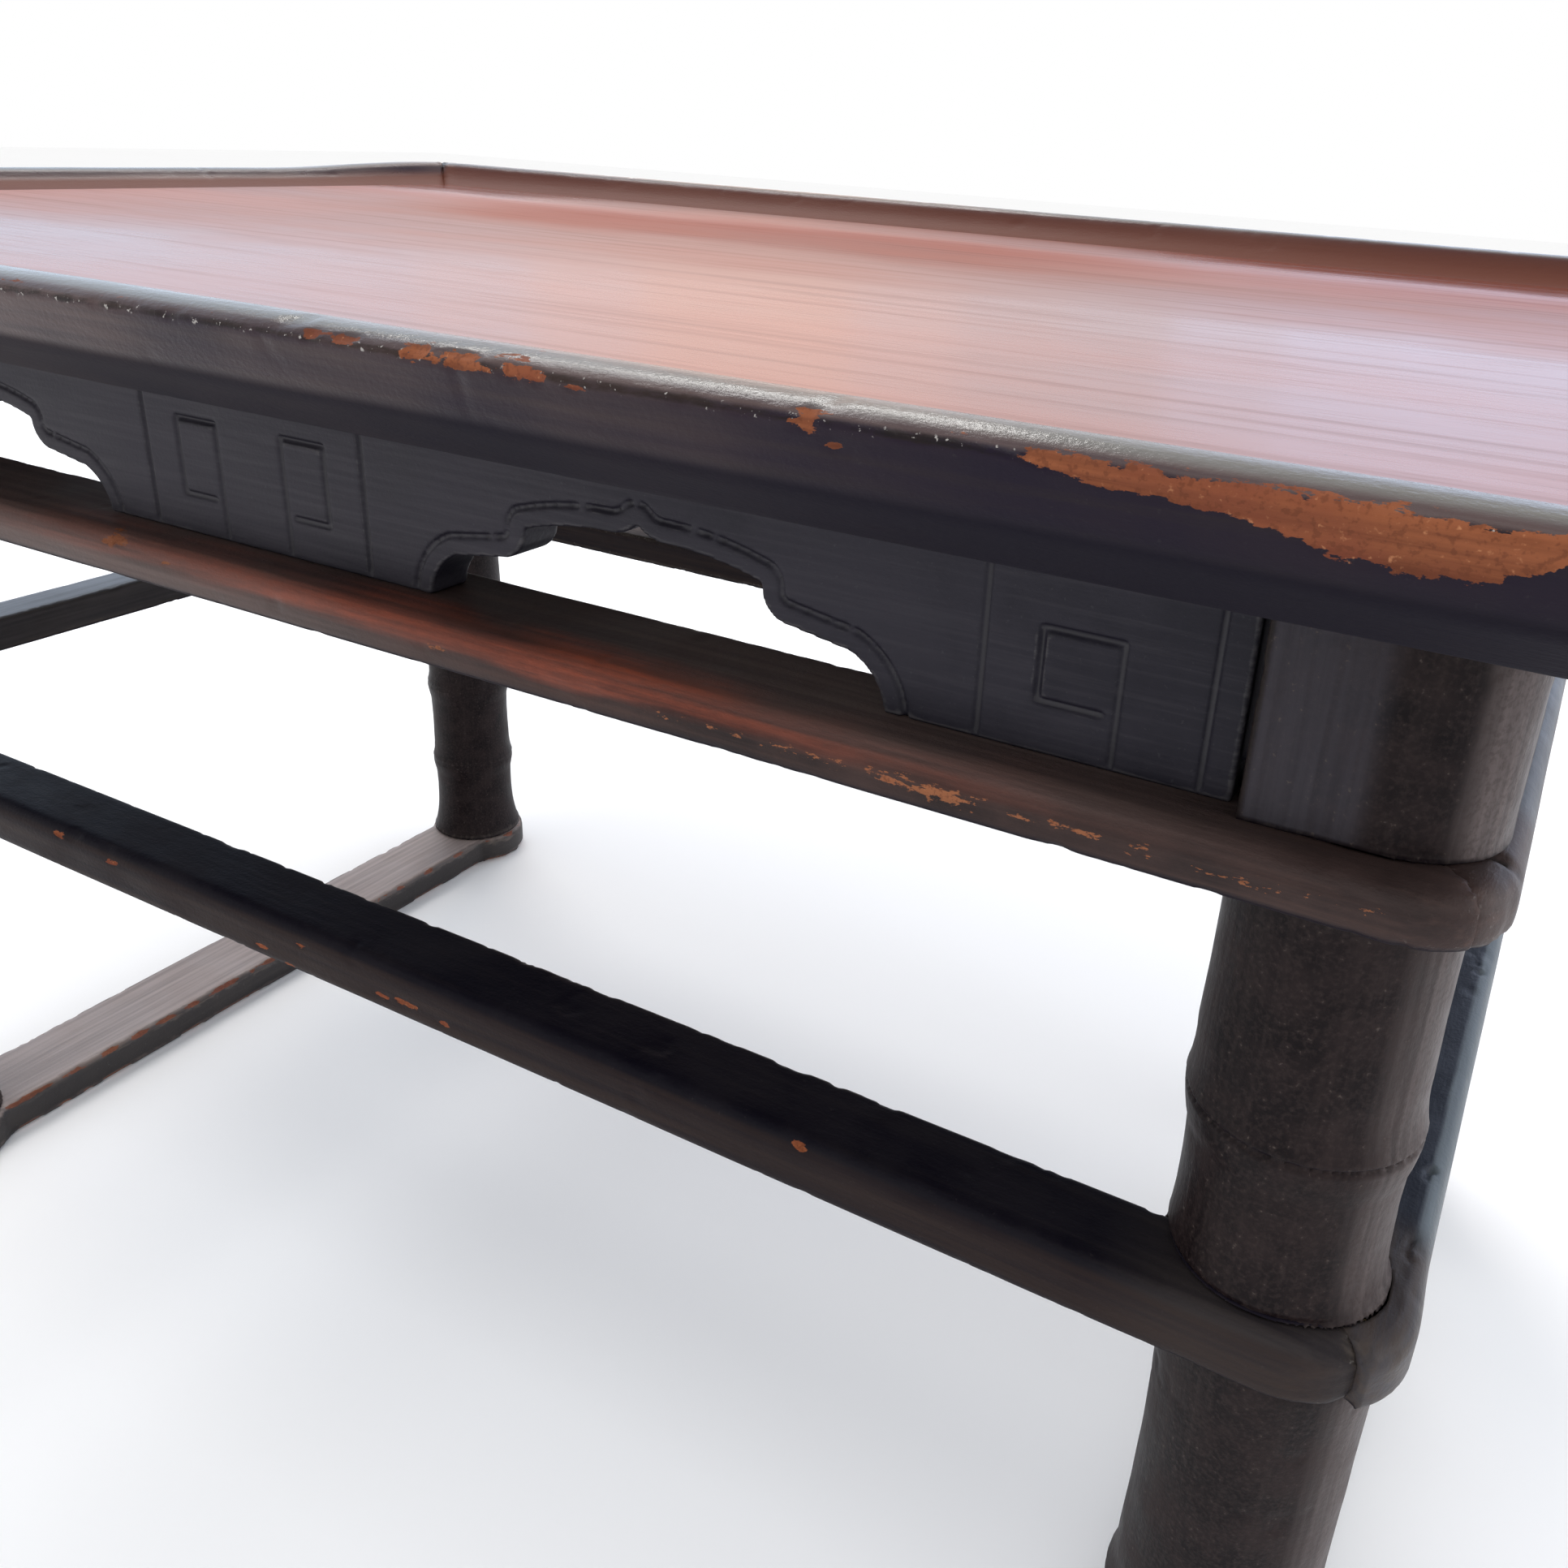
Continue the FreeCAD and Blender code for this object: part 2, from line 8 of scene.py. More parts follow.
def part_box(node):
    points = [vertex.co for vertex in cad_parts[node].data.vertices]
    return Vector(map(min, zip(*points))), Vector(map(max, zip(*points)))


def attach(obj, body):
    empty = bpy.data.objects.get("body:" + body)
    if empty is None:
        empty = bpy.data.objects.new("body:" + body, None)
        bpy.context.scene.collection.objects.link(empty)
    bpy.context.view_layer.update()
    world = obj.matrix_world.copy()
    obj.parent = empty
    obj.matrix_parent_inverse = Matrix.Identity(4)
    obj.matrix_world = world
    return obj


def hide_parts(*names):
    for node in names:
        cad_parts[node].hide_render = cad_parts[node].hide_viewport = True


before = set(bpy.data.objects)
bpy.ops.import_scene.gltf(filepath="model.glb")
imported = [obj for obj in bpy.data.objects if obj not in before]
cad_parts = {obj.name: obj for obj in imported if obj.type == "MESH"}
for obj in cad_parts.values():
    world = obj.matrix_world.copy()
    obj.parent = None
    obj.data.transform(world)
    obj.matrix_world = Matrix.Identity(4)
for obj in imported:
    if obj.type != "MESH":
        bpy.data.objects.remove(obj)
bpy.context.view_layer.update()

# Sizes on the table are in millimetres; Blender's own lengths are metres
MM = 0.001

# Size of the small squares that a worn copy is made of, by how close the piece is looked at
CARVED = 0.42
CLOSE = 0.5
CARVED_FAR = 0.62
FINE = 0.65
MEDIUM = 0.9
COARSE = 1.2


def node_box(node):
    """Lowest and highest corner of a node, in millimetres."""
    low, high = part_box(node)
    return np.array(low) / MM, np.array(high) / MM


RIM_LOW, RIM_HIGH = node_box("rim_front")
BELT_LOW, BELT_HIGH = node_box("belt_front")
RAIL_LOW, RAIL_HIGH = node_box("stretcher_front")
LEG_LOW, LEG_HIGH = node_box("leg_front_right")
LEG_AXIS = np.abs(LEG_LOW + LEG_HIGH)[:2] / 2
RIM_CORNER = np.array([RIM_HIGH[0], -RIM_LOW[1]])
BOARD_TOP = node_box("top_panel")[1][2]
HALF_ROOT = math.sqrt(0.5)


# Noise on points, the same on every run
LATTICE_PRIMES = np.array([73856093, 19349663, 83492791])
SEED_PRIME = 2654435761
MIX_PRIME = 1274126177
LOW_BITS = 0xFFFF


def lattice_value(cell, seed):
    """A steady random-looking number from 0 to 1 for each row of whole-number cells."""
    mixed = np.bitwise_xor.reduce(cell * LATTICE_PRIMES, axis=1) ^ seed * SEED_PRIME
    mixed = (mixed ^ (mixed >> 13)) * MIX_PRIME
    return ((mixed ^ (mixed >> 16)) & LOW_BITS) / LOW_BITS


def value_noise(points, size, seed):
    """Smooth noise from 0 to 1 whose bumps are about one size across; size may differ by axis."""
    scaled = points / np.broadcast_to(np.asarray(size, float), (3,))
    cell = np.floor(scaled).astype(np.int64)
    part = scaled - cell
    part = part * part * (3 - 2 * part)
    total = np.zeros(len(points))
    for corner in range(8):
        step = np.array([corner & 1, corner >> 1 & 1, corner >> 2 & 1])
        weight = np.prod(np.where(step, part, 1 - part), axis=1)
        total += weight * lattice_value(cell + step, seed)
    return total


def rough_noise(points, size, seed, layers=3):
    """Value noise in layers, each half as large and half as strong as the one before."""
    total = np.zeros(len(points))
    whole = 0.0
    for layer in range(layers):
        weight = 0.5 ** layer
        total += weight * value_noise(points, np.asarray(size, float) * weight, seed + layer)
        whole += weight
    return total / whole


def smooth_step(value, low, high):
    """0 below low, 1 above high, with a soft rise between."""
    part = np.clip((value - low) / (high - low), 0, 1)
    return part * part * (3 - 2 * part)


# Meshes: how near points are welded, and rounds of relaxing for rounded edges and to find ridges
WELD = 0.002
ROUNDING = 26
RIDGE_ROUNDS = 14


def relaxed(values, edges, counts, rounds):
    """Values moved half way towards the mean of their neighbours, the given number of times."""
    for _ in range(rounds):
        total = np.zeros_like(values)
        for side in (0, 1):
            here, there = edges[:, side], edges[:, 1 - side]
            for axis in range(3):
                total[:, axis] += np.bincount(here, values[there, axis], len(values))
        values = 0.5 * values + 0.5 * total / counts[:, None]
    return values


def even_copy(node, voxel):
    """A welded copy of a node's mesh as an even net of small quads, as a new object."""
    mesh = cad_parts[node].data.copy()
    welded = bmesh.new()
    welded.from_mesh(mesh)
    bmesh.ops.remove_doubles(welded, verts=welded.verts, dist=WELD * MM)
    welded.to_mesh(mesh)
    welded.free()
    shell = bpy.data.objects.new(node + "_worn", mesh)
    bpy.context.scene.collection.objects.link(shell)
    remesh = shell.modifiers.new("even", "REMESH")
    remesh.mode = "VOXEL"
    remesh.voxel_size = voxel * MM
    hold = shell.modifiers.new("hold", "SHRINKWRAP")
    hold.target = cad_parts[node]
    done = bpy.data.meshes.new_from_object(shell.evaluated_get(bpy.context.evaluated_depsgraph_get()))
    shell.modifiers.clear()
    shell.data = done
    shell.data.materials.clear()
    return shell


def points_of(mesh):
    """A mesh's points, in millimetres."""
    found = np.empty(len(mesh.vertices) * 3)
    mesh.vertices.foreach_get("co", found)
    return found.reshape(-1, 3) / MM


def normals_of(mesh):
    """The direction in which each point of a mesh faces."""
    found = np.empty(len(mesh.vertices) * 3, np.float32)
    mesh.vertex_normals.foreach_get("vector", found)
    return found.reshape(-1, 3).astype(float)


def put_points(mesh, points):
    mesh.vertices.foreach_set("co", (points * MM).ravel())
    mesh.update()


def put_mask(mesh, name, values):
    layer = mesh.attributes.new(name, "FLOAT", "POINT")
    layer.data.foreach_set("value", values.astype(np.float32))


def worn_piece(node, voxel, finish, wear, soften=3, reshape=None, rounded=None):
    """A hand-worn copy that stands for a node. wear(points, normals, edge) gives how deep each point
    goes in and the masks that its material reads; edge is positive on ridges, negative in hollows."""
    piece = even_copy(node, voxel)
    mesh = piece.data
    edges = np.empty(len(mesh.edges) * 2, np.int64)
    mesh.edges.foreach_get("vertices", edges)
    edges = edges.reshape(-1, 2)
    counts = np.bincount(edges.ravel(), minlength=len(mesh.vertices))
    points = relaxed(points_of(mesh), edges, counts, soften)
    if rounded:
        points += rounded(points)[:, None] * (relaxed(points, edges, counts, ROUNDING) - points)
    if reshape:
        points = reshape(points)
    put_points(mesh, points)
    normals = normals_of(mesh)
    edge = ((points - relaxed(points, edges, counts, RIDGE_ROUNDS)) * normals).sum(1)
    depth, masks = wear(points, normals, edge)
    put_points(mesh, points - normals * depth[:, None])
    for name, values in masks.items():
        put_mask(mesh, name, values)
    mesh.polygons.foreach_set("use_smooth", np.ones(len(mesh.polygons), bool))
    mesh.materials.append(finish)
    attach(piece, "root")
    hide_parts(node)


# Shapes that differ from the straight CAD pieces
RIM_FOOT = (RIM_HIGH[2] - 5.5, RIM_HIGH[2] - 7.5)
CLEAR_OF_MITRE = (3.0, 9.0)


def rim_foot(points):
    """1 along the rim's lower edge and 0 above it and at the mitres."""
    beyond = np.abs(points[:, :2]) - RIM_CORNER
    from_mitre = HALF_ROOT * np.abs(beyond[:, 0] - beyond[:, 1])
    return smooth_step(points[:, 2], *RIM_FOOT) * smooth_step(from_mitre, *CLEAR_OF_MITRE)


MITRE_LAP = 0.8
MITRE_REACH = 2.5


def closed_mitres(points, corner, long_side):
    """Points near the ends moved a little past the mitre, so that neighbours meet in a fine line."""
    beyond = np.abs(points[:, :2]) - corner
    turn = np.array([1.0, -1.0]) if long_side else np.array([-1.0, 1.0])
    past = (beyond * turn).sum(1) * HALF_ROOT
    push = MITRE_LAP * smooth_step(past, -MITRE_REACH, 0)
    moved = points.copy()
    moved[:, :2] += push[:, None] * np.sign(points[:, :2]) * turn * HALF_ROOT
    return moved


def lapped(corner, long_side):
    """A reshape that closes the mitres at a corner."""
    return lambda points: closed_mitres(points, corner, long_side)


LEFT_RIM_SAG = 0.3
SAG_CLEAR = 18.0
SAG_RUN = 70.0


def sagged_left_rim(points):
    """The left rim's crest, worn lower along the side and left high near its corners."""
    from_corner = RIM_CORNER[1] - np.abs(points[:, 1])
    share = LEFT_RIM_SAG * smooth_step(from_corner, SAG_CLEAR, SAG_CLEAR + SAG_RUN)
    moved = points.copy()
    moved[:, 2] -= share * np.clip(points[:, 2] - BOARD_TOP, 0, None)
    return moved


# Heights on the leg, with its sideways shift and its thickness there
CROOK_Z = (0, 40, 110, 136, 150, 172, 182, 206, 214)
CROOK = (0, 0.4, 1.2, 0.9, -0.9, -1.2, -1.5, -1.5, 0)
SWELL = (1, 1.02, 1.05, 1.05, 0.96, 0.98, 1.0, 1.0, 1.0)


def crooked_leg(points):
    """The front right leg, which isn't quite straight or even in thickness."""
    axis = LEG_AXIS * (1, -1)
    moved = points.copy()
    moved[:, :2] = axis + (points[:, :2] - axis) * np.interp(points[:, 2], CROOK_Z, SWELL)[:, None]
    moved[:, 0] += np.interp(points[:, 2], CROOK_Z, CROOK)
    return moved


PROUD, PROUD_END = 1.5, 0.5
PROUD_OUT = (4, 12)
PROUD_FRONT = (-12, 2)
PROUD_BACK = (10, 50)


def proud_rail(points):
    """The right-hand rail, which stands a little proud of the others, most of all at its front end."""
    out = smooth_step(points[:, 0] - LEG_AXIS[0], *PROUD_OUT)
    end = smooth_step(-points[:, 1] - LEG_AXIS[1], *PROUD_FRONT)
    length = smooth_step(LEG_AXIS[1] - points[:, 1], *PROUD_BACK)
    moved = points.copy()
    moved[:, 0] += (PROUD * length + PROUD_END * end) * out
    return moved


# Wear on the pieces: a stretch is a pair of values over which something sets in
NO_CHIP = -1.0
# The dust and faded masks hold real dust, rubbing and fading on some pieces and painted highlights,
# reflections and light on others
PLAIN_MASKS = {"bare": NO_CHIP, "dust": 0.0, "faded": 0.0, "cove": 0.0}
RIDGE_FROM, HOLLOW_FROM = 0.25, 0.12
FACES_DOWN = (0.2, 0.6)
CHIP_GRAIN, CHIP_RAGGED = (2.2, 1.2, 0.9), 1.7
CHIP_DEPTH, CHIP_WALL = 0.15, (0.0, 0.4)
WAVE_SIZE, WAVE_DEPTH = 26, 0.16
DENT_SIZE, DENT_DEPTH, DENT_STRETCH, DENT_SEED = 7, 0.18, (0.68, 0.84), 9


def spots(points, places, top, seed):
    """How far inside the nearest chip each point is: above 0 is in, below is out. A chip is
    (x, distance below the piece's top, half length, half height) on the front of the table."""
    ragged = CHIP_RAGGED * (rough_noise(points, CHIP_GRAIN, seed) - 0.5)
    found = np.full(len(points), NO_CHIP)
    for x, below, length, height in places:
        off = np.hypot((points[:, 0] - x) / length, (points[:, 2] - top + below) / height)
        found = np.maximum(found, 1 - off + ragged)
    return found


def hand_depth(points, seed):
    """The slow waviness and small dents of hand work."""
    slow = WAVE_DEPTH * rough_noise(points, WAVE_SIZE, seed)
    dents = DENT_DEPTH * smooth_step(rough_noise(points, DENT_SIZE, seed + DENT_SEED), *DENT_STRETCH)
    return slow + dents


def nicks(points, ridge, size, seed, stretch):
    """Small nicks along the ridges, from 0 to 1."""
    return ridge * smooth_step(rough_noise(points, size, seed), *stretch)


def wear_masks(normals, edge, soft=0.4, **given):
    """Masks for the materials: ridges and hollows up to soft millimetres high, what faces down,
    and those given."""
    masks = {name: np.full(len(edge), plain) for name, plain in PLAIN_MASKS.items()}
    masks["ridge"] = smooth_step(edge, RIDGE_FROM * soft, soft)
    masks["hollow"] = smooth_step(-edge, HOLLOW_FROM * soft, soft)
    masks["under"] = smooth_step(-normals[:, 2], *FACES_DOWN)
    masks.update(given)
    return masks


RIM_FRONT = 5
RIM_CHIPS = [
    (70.4, 1.4, 1.3, 0.5), (74.7, 1.4, 1.8, 0.6), (85.5, 1.6, 2.0, 0.7), (88.3, 1.8, 1.4, 0.7),
    (91.6, 1.6, 2.4, 0.8), (97.9, 1.7, 2.8, 1.0), (101.4, 2.0, 1.3, 0.6), (106.0, 2.4, 1.1, 0.4),
    (131.6, 1.9, 1.5, 0.8), (134.5, 3.8, 1.0, 0.4),
]
BARE_X = (148.0, 153.3, 162.1, 172.4, 179.0, 187.0, 191.1, 193.3, 198.0)
BARE_DOWN_TO = (0.6, 2.4, 3.6, 4.2, 6.1, 6.1, 4.9, 3.5, 0.6)
BARE_FROM = 1.1
PATCH_SHARP, PATCH_GRAIN, PATCH_RAGGED = 1.2, (7, 3, 3), 1.1
# A painted sheen on the rim's face, strongest towards the left, in patches
RIM_SHEEN_X = (-230, 0, 100, 150)
RIM_SHEEN = (0.95, 1.0, 0.5, 0.05)
RIM_SHEEN_SIZE, RIM_SHEEN_STRETCH = 30, (0.2, 0.7)
COVE_IN, COVE_UP = (6.5, 10.0), (0.0, 0.3)
COVE_Z = (BOARD_TOP, BOARD_TOP + 6)
COVE = (1.0, 0.75)
CREST_UP = (0.9, 0.975)
# A painted brown shading band on the shoulder below the crest
SHOULDER_SHADING, SHOULDER_SHADING_UP = 0.7, (0.6, 0.8)
RIM_NICK = 0.4
PATCH_DEPTH, PATCH_WALL = 0.3, (-0.05, 0.25)


def bare_patch(points):
    """How far inside the large bare patch on the front's right each point is."""
    below = RIM_HIGH[2] - points[:, 2]
    inside = np.minimum(np.interp(points[:, 0], BARE_X, BARE_DOWN_TO) - below, below - BARE_FROM)
    return PATCH_SHARP * inside + PATCH_RAGGED * (rough_noise(points, PATCH_GRAIN, 33, layers=4) - 0.5)


def rim_wear(points, normals, edge):
    """Nicked arris all round, with chips and a large bare patch on the front's right; a painted highlight on
    the crest, a painted shading band on the shoulder below it and a painted sheen towards the left of the
    face.
    """
    up = normals[:, 2]
    front = points[:, 1] < RIM_LOW[1] + RIM_FRONT
    chip = np.maximum(spots(points, RIM_CHIPS, RIM_HIGH[2], seed=21), bare_patch(points))
    bare = np.where(front, np.clip(chip, -1, 1), NO_CHIP)
    inwards = (RIM_CORNER - np.abs(points[:, :2])).min(1)
    cove = smooth_step(inwards, *COVE_IN) * smooth_step(up, *COVE_UP)
    # Painted highlight: the crest, which faces up, is coloured light grey for reflected light
    crest = smooth_step(up, *CREST_UP) * (1 - cove)
    # Painted shading band on the shoulder, which tilts up and out
    shoulder_shading = SHOULDER_SHADING * smooth_step(up, *SHOULDER_SHADING_UP) * (1 - cove)
    cove *= np.interp(points[:, 2], COVE_Z, COVE)
    # Painted sheen on the face, paler towards the left
    patchy = smooth_step(rough_noise(points, RIM_SHEEN_SIZE, 35), *RIM_SHEEN_STRETCH)
    faded = np.maximum(shoulder_shading, np.interp(points[:, 0], RIM_SHEEN_X, RIM_SHEEN) * patchy)
    masks = wear_masks(normals, edge, bare=bare, dust=crest, faded=faded, cove=cove)
    nick = nicks(points, masks["ridge"], size=3.2, seed=5, stretch=(0.5, 0.74))
    depth = hand_depth(points, 3) + RIM_NICK * nick + PATCH_DEPTH * smooth_step(bare, *PATCH_WALL)
    return depth, masks


BELT_FRONT = 6
BELT_CHIPS = [(-26.7, 1.2, 2.4, 0.9), (-13.0, 2.6, 1.4, 0.4), (48.6, 3.8, 2.0, 0.5)]
FLECK_LINE_BELOW, FLECK_LINE_FALL = 4.2, 0.35
FLECK_LINE_X = (70, 88, 120, 125, 135, 139, 150, 153, 158, 161, 171, 176, 184, 192)
FLECK_LINE = (-0.9, -0.2, -0.12, 0.2, 0.15, -0.3, 0.0, -0.3, 0.0, -0.3, -0.05, -0.2, -0.1, -0.9)
RUB_X = (-60, 0, 75, 120, 150, 185)
RUB = (0.15, 0.45, 1.1, 0.35, 0.05, 0.0)
RUB_BELOW, RUB_HALF, RUB_SOFT = 1.7, 2.8, (0.0, 0.8)
RUB_GRAIN, RUB_RAGGED = (18, 18, 2), 1.1
RUB_DEPTH, RUB_EDGE = 10, (0, 3)
# Painted light on the belt's upward-facing ledge in front of the apron, which the apron shades
LEDGE_LIGHT_X = (-20, 60, 110, 150, 180)
LEDGE_LIGHT = (0.4, 0.3, 1.0, 0.8, 0.15)
LEDGE_LIGHT_UP = (0.4, 0.8)
COLLAR_X = (-30, -8)
# A painted grey-brown sheen along the top of the belt's face, to the right
SHEEN_X, SHEEN_Z = (60, 130), (-3.6, -1.6)
LEFT_X = (70, 0)
# Shares of the fade colour: real fading by the collar and on the left, painted sheen and painted ledge light
COLLAR_FADE, SHEEN_SHARE, LEFT_FADE, LEDGE_LIGHT_SHARE = 0.04, 0.18, 0.5, 0.85
BELT_NICK = 0.35


def belt_flecks(points):
    """Chips and a broken line of flecks along the front of the belt."""
    off = np.abs(BELT_HIGH[2] - points[:, 2] - FLECK_LINE_BELOW)
    line = np.interp(points[:, 0], FLECK_LINE_X, FLECK_LINE) - FLECK_LINE_FALL * off
    return np.maximum(spots(points, BELT_CHIPS, BELT_HIGH[2], seed=22), line)


def belt_rub(points):
    """Where the belt's outer face is rubbed to red-brown."""
    height = 1 - np.abs(BELT_HIGH[2] - points[:, 2] - RUB_BELOW) / RUB_HALF
    patchy = RUB_RAGGED * (rough_noise(points, RUB_GRAIN, 44) - 0.5)
    outside = smooth_step(BELT_LOW[1] + RUB_DEPTH - points[:, 1], *RUB_EDGE)
    return smooth_step(height + patchy, *RUB_SOFT) * np.interp(points[:, 0], RUB_X, RUB) * outside


def belt_fade_and_light(points, up):
    """Where the belt is faded by the legs and on the left, with a painted sheen along the top to the right
    and painted light on its ledge.
    """
    x = points[:, 0]
    collar = smooth_step(np.abs(x) - LEG_AXIS[0], *COLLAR_X)
    # Painted sheen along the top of the face to the right
    sheen = smooth_step(x, *SHEEN_X) * smooth_step(points[:, 2] - BELT_HIGH[2], *SHEEN_Z)
    left = smooth_step(x, *LEFT_X)
    # Painted light on the ledge, which faces up
    ledge_light = smooth_step(up, *LEDGE_LIGHT_UP) * np.interp(x, LEDGE_LIGHT_X, LEDGE_LIGHT)
    return np.max([COLLAR_FADE * collar, SHEEN_SHARE * sheen, LEFT_FADE * left, LEDGE_LIGHT_SHARE * ledge_light], axis=0)


def belt_wear(points, normals, edge):
    """A convex face rubbed to red-brown, with a broken line of flecks along the front."""
    front = points[:, 1] < BELT_LOW[1] + BELT_FRONT
    bare = np.where(front, belt_flecks(points), NO_CHIP)
    faded = belt_fade_and_light(points, normals[:, 2])
    masks = wear_masks(normals, edge, bare=np.clip(bare, -1, 1), dust=belt_rub(points), faded=faded)
    nick = nicks(points, masks["ridge"], size=3.6, seed=6, stretch=(0.55, 0.78))
    depth = hand_depth(points, 13) + BELT_NICK * nick + CHIP_DEPTH * smooth_step(bare, *CHIP_WALL)
    return depth, masks


CLEAR_OF_LEG = (8, 18)
SIDE_BELT_UP = (0.1, 0.5)
SPLIT = LEG_AXIS * (1, -1) + (13.6, -2.4)
SPLIT_HALF, SPLIT_TALL, SPLIT_DEEP, SPLIT_DARK = (2.0, 0.9), 2.5, 1.3, (0.3, 0.6)


def along_side(points):
    """1 along a short side of the table and 0 round its legs."""
    return smooth_step(LEG_AXIS[1] - np.abs(points[:, 1]), *CLEAR_OF_LEG)


def side_belt_wear(points, normals, edge):
    """Pale blue-grey on top along the side, dust together with a painted reflection of cool light; the right
    one has split a little at its front corner, under the leg's head."""
    depth, masks = belt_wear(points, normals, edge)
    # Dust with a painted reflection of cool light on the upward faces along the side
    masks["dust"] = along_side(points) * smooth_step(normals[:, 2], *SIDE_BELT_UP)
    away = (points[:, :2] - SPLIT) / SPLIT_HALF
    split = np.exp(-(away ** 2).sum(1)) * (points[:, 2] > BELT_HIGH[2] - SPLIT_TALL)
    masks["hollow"] = np.maximum(masks["hollow"], smooth_step(split, *SPLIT_DARK))
    return depth + SPLIT_DEEP * split, masks


RAIL_FRONT = 6
RAIL_CHIPS = [
    (-59.1, 1.6, 2.0, 0.6), (-41.8, 2.6, 1.8, 0.6), (-1.3, 6.9, 1.4, 0.4), (9.9, 2.9, 1.8, 0.5),
    (5.8, 8.7, 1.4, 0.5), (29.4, 6.4, 2.2, 0.5), (35.3, 5.9, 3.2, 0.5), (43.6, 6.6, 1.6, 0.4),
    (113.7, 1.1, 1.4, 0.5),
]
RAIL_FACE = (0.7, 0.95)
RAIL_COLLAR_X, RAIL_COLLAR_FADE = (-24, -6), 0.6
RAIL_NICK = 0.4
SIDE_RAIL_UP = (0.5, 0.9)


def rail_wear(points, normals, edge):
    """Nicked arrises and a few chips; grey dust on the front."""
    front = points[:, 1] < RAIL_LOW[1] + RAIL_FRONT
    bare = np.where(front, spots(points, RAIL_CHIPS, RAIL_HIGH[2], seed=23), NO_CHIP)
    face = smooth_step(-normals[:, 1], *RAIL_FACE)
    faded = RAIL_COLLAR_FADE * smooth_step(np.abs(points[:, 0]) - LEG_AXIS[0], *RAIL_COLLAR_X)
    masks = wear_masks(normals, edge, bare=np.clip(bare, -1, 1), dust=face, faded=faded)
    nick = nicks(points, masks["ridge"], size=3.4, seed=7, stretch=(0.56, 0.8))
    depth = hand_depth(points, 17) + RAIL_NICK * nick + CHIP_DEPTH * smooth_step(bare, *CHIP_WALL)
    return depth, masks


def side_rail_wear(points, normals, edge):
    """The left-hand rail, pale blue-grey on top: dust together with a painted reflection of cool light."""
    depth, masks = rail_wear(points, normals, edge)
    # Dust with a painted reflection of cool light on the upward faces along the side
    masks["dust"] = along_side(points) * smooth_step(normals[:, 2], *SIDE_RAIL_UP)
    return depth, masks


# Where the painted highlight lies along the rail's outer edge, and the gouges in it
ARRIS_OUT, ARRIS_EDGE, ARRIS_UP = 16.0, (-0.3, 0.4), (0.1, 0.4)
ARRIS_SIZE, ARRIS_RAGGED = 6, 0.8
GOUGES_Y = (-100.0, -82.0, -19.0)
GOUGE, GOUGE_LONG, GOUGE_WIDE = 0.9, 2.2, 0.8
GOUGE_SIZE, GOUGE_STRETCH = 1.2, (0.4, 0.6)


def proud_rail_wear(points, normals, edge):
    """Pale blue-grey along the outer edge, a painted highlight of cool light together with fading; nicked
    where that meets the top, and brown round the leg.
    """
    depth, masks = rail_wear(points, normals, edge)
    side = along_side(points)
    across = points[:, 0] - LEG_AXIS[0] - ARRIS_OUT
    wavy = ARRIS_RAGGED * (rough_noise(points, ARRIS_SIZE, 83) - 0.5)
    # Painted highlight of cool light, with fading, along the outer edge of the top
    masks["dust"] = side * smooth_step(across + wavy, *ARRIS_EDGE) * smooth_step(normals[:, 2], *ARRIS_UP)
    masks["faded"] = 1 - side
    broken = GOUGE * smooth_step(rough_noise(points, GOUGE_SIZE, 81), *GOUGE_STRETCH)
    for y in GOUGES_Y:
        away = ((points[:, 1] - y) / GOUGE_LONG) ** 2 + (across / GOUGE_WIDE) ** 2
        depth += broken * np.exp(-away)
    return depth, masks


# The head's flat faces get a painted reflection; the outer sides of head and leg a painted highlight
HEAD_FLAT, HEAD_FLAT_OUT, HEAD_SOFT = (0.9, 0.99), (1.0, -3.0), (-0.5, 0.5)
HEAD_HIGHLIGHT_OUT = (7.5, 11.0)
LEG_HIGHLIGHT, LEG_HIGHLIGHT_OUT = 0.7, (0.55, 0.95)
CARVING_SIZE, CARVING_DEPTH, CARVING_STRETCH = (10, 10, 6), 0.12, (0.62, 0.85)
CRACK, CRACK_Z = 0.9, RAIL_HIGH[2] + 0.5
CRACK_HALF, CRACK_OUT = (1.5, 0.4), (0.8, 0.3)
LEG_HOLLOW, LEG_RIDGE = 0.4, 0.25


def leg_wear(points, normals, edge):
    """Soft carving marks and a crack above the stretcher; a painted reflection lies on the head's flat faces,
    and a painted highlight on the outer side."""
    outer = np.abs(points[:, 0]) - LEG_AXIS[0]
    outward = normals[:, 0] * np.sign(points[:, 0])
    # Painted reflection on the head's flat faces
    flat = smooth_step(np.abs(normals[:, 1]), *HEAD_FLAT) * smooth_step(outer, *HEAD_FLAT_OUT)
    head = smooth_step(points[:, 2] - BELT_HIGH[2], *HEAD_SOFT)
    # Painted highlight on the outer side of the leg and of its head
    round_faded = LEG_HIGHLIGHT * smooth_step(outward, *LEG_HIGHLIGHT_OUT)
    faded = np.where(head > 0.5, smooth_step(outer, *HEAD_HIGHLIGHT_OUT), round_faded)
    masks = wear_masks(normals, edge, soft=0.3, dust=flat * head, faded=faded)
    carved = CARVING_DEPTH * smooth_step(rough_noise(points, CARVING_SIZE, 61), *CARVING_STRETCH)
    crack = smooth_step(np.abs(points[:, 2] - CRACK_Z), *CRACK_HALF) * smooth_step(outward, *CRACK_OUT)
    depth = hand_depth(points, 19) + carved + CRACK * crack
    return depth + LEG_HOLLOW * masks["hollow"] - LEG_RIDGE * masks["ridge"], masks


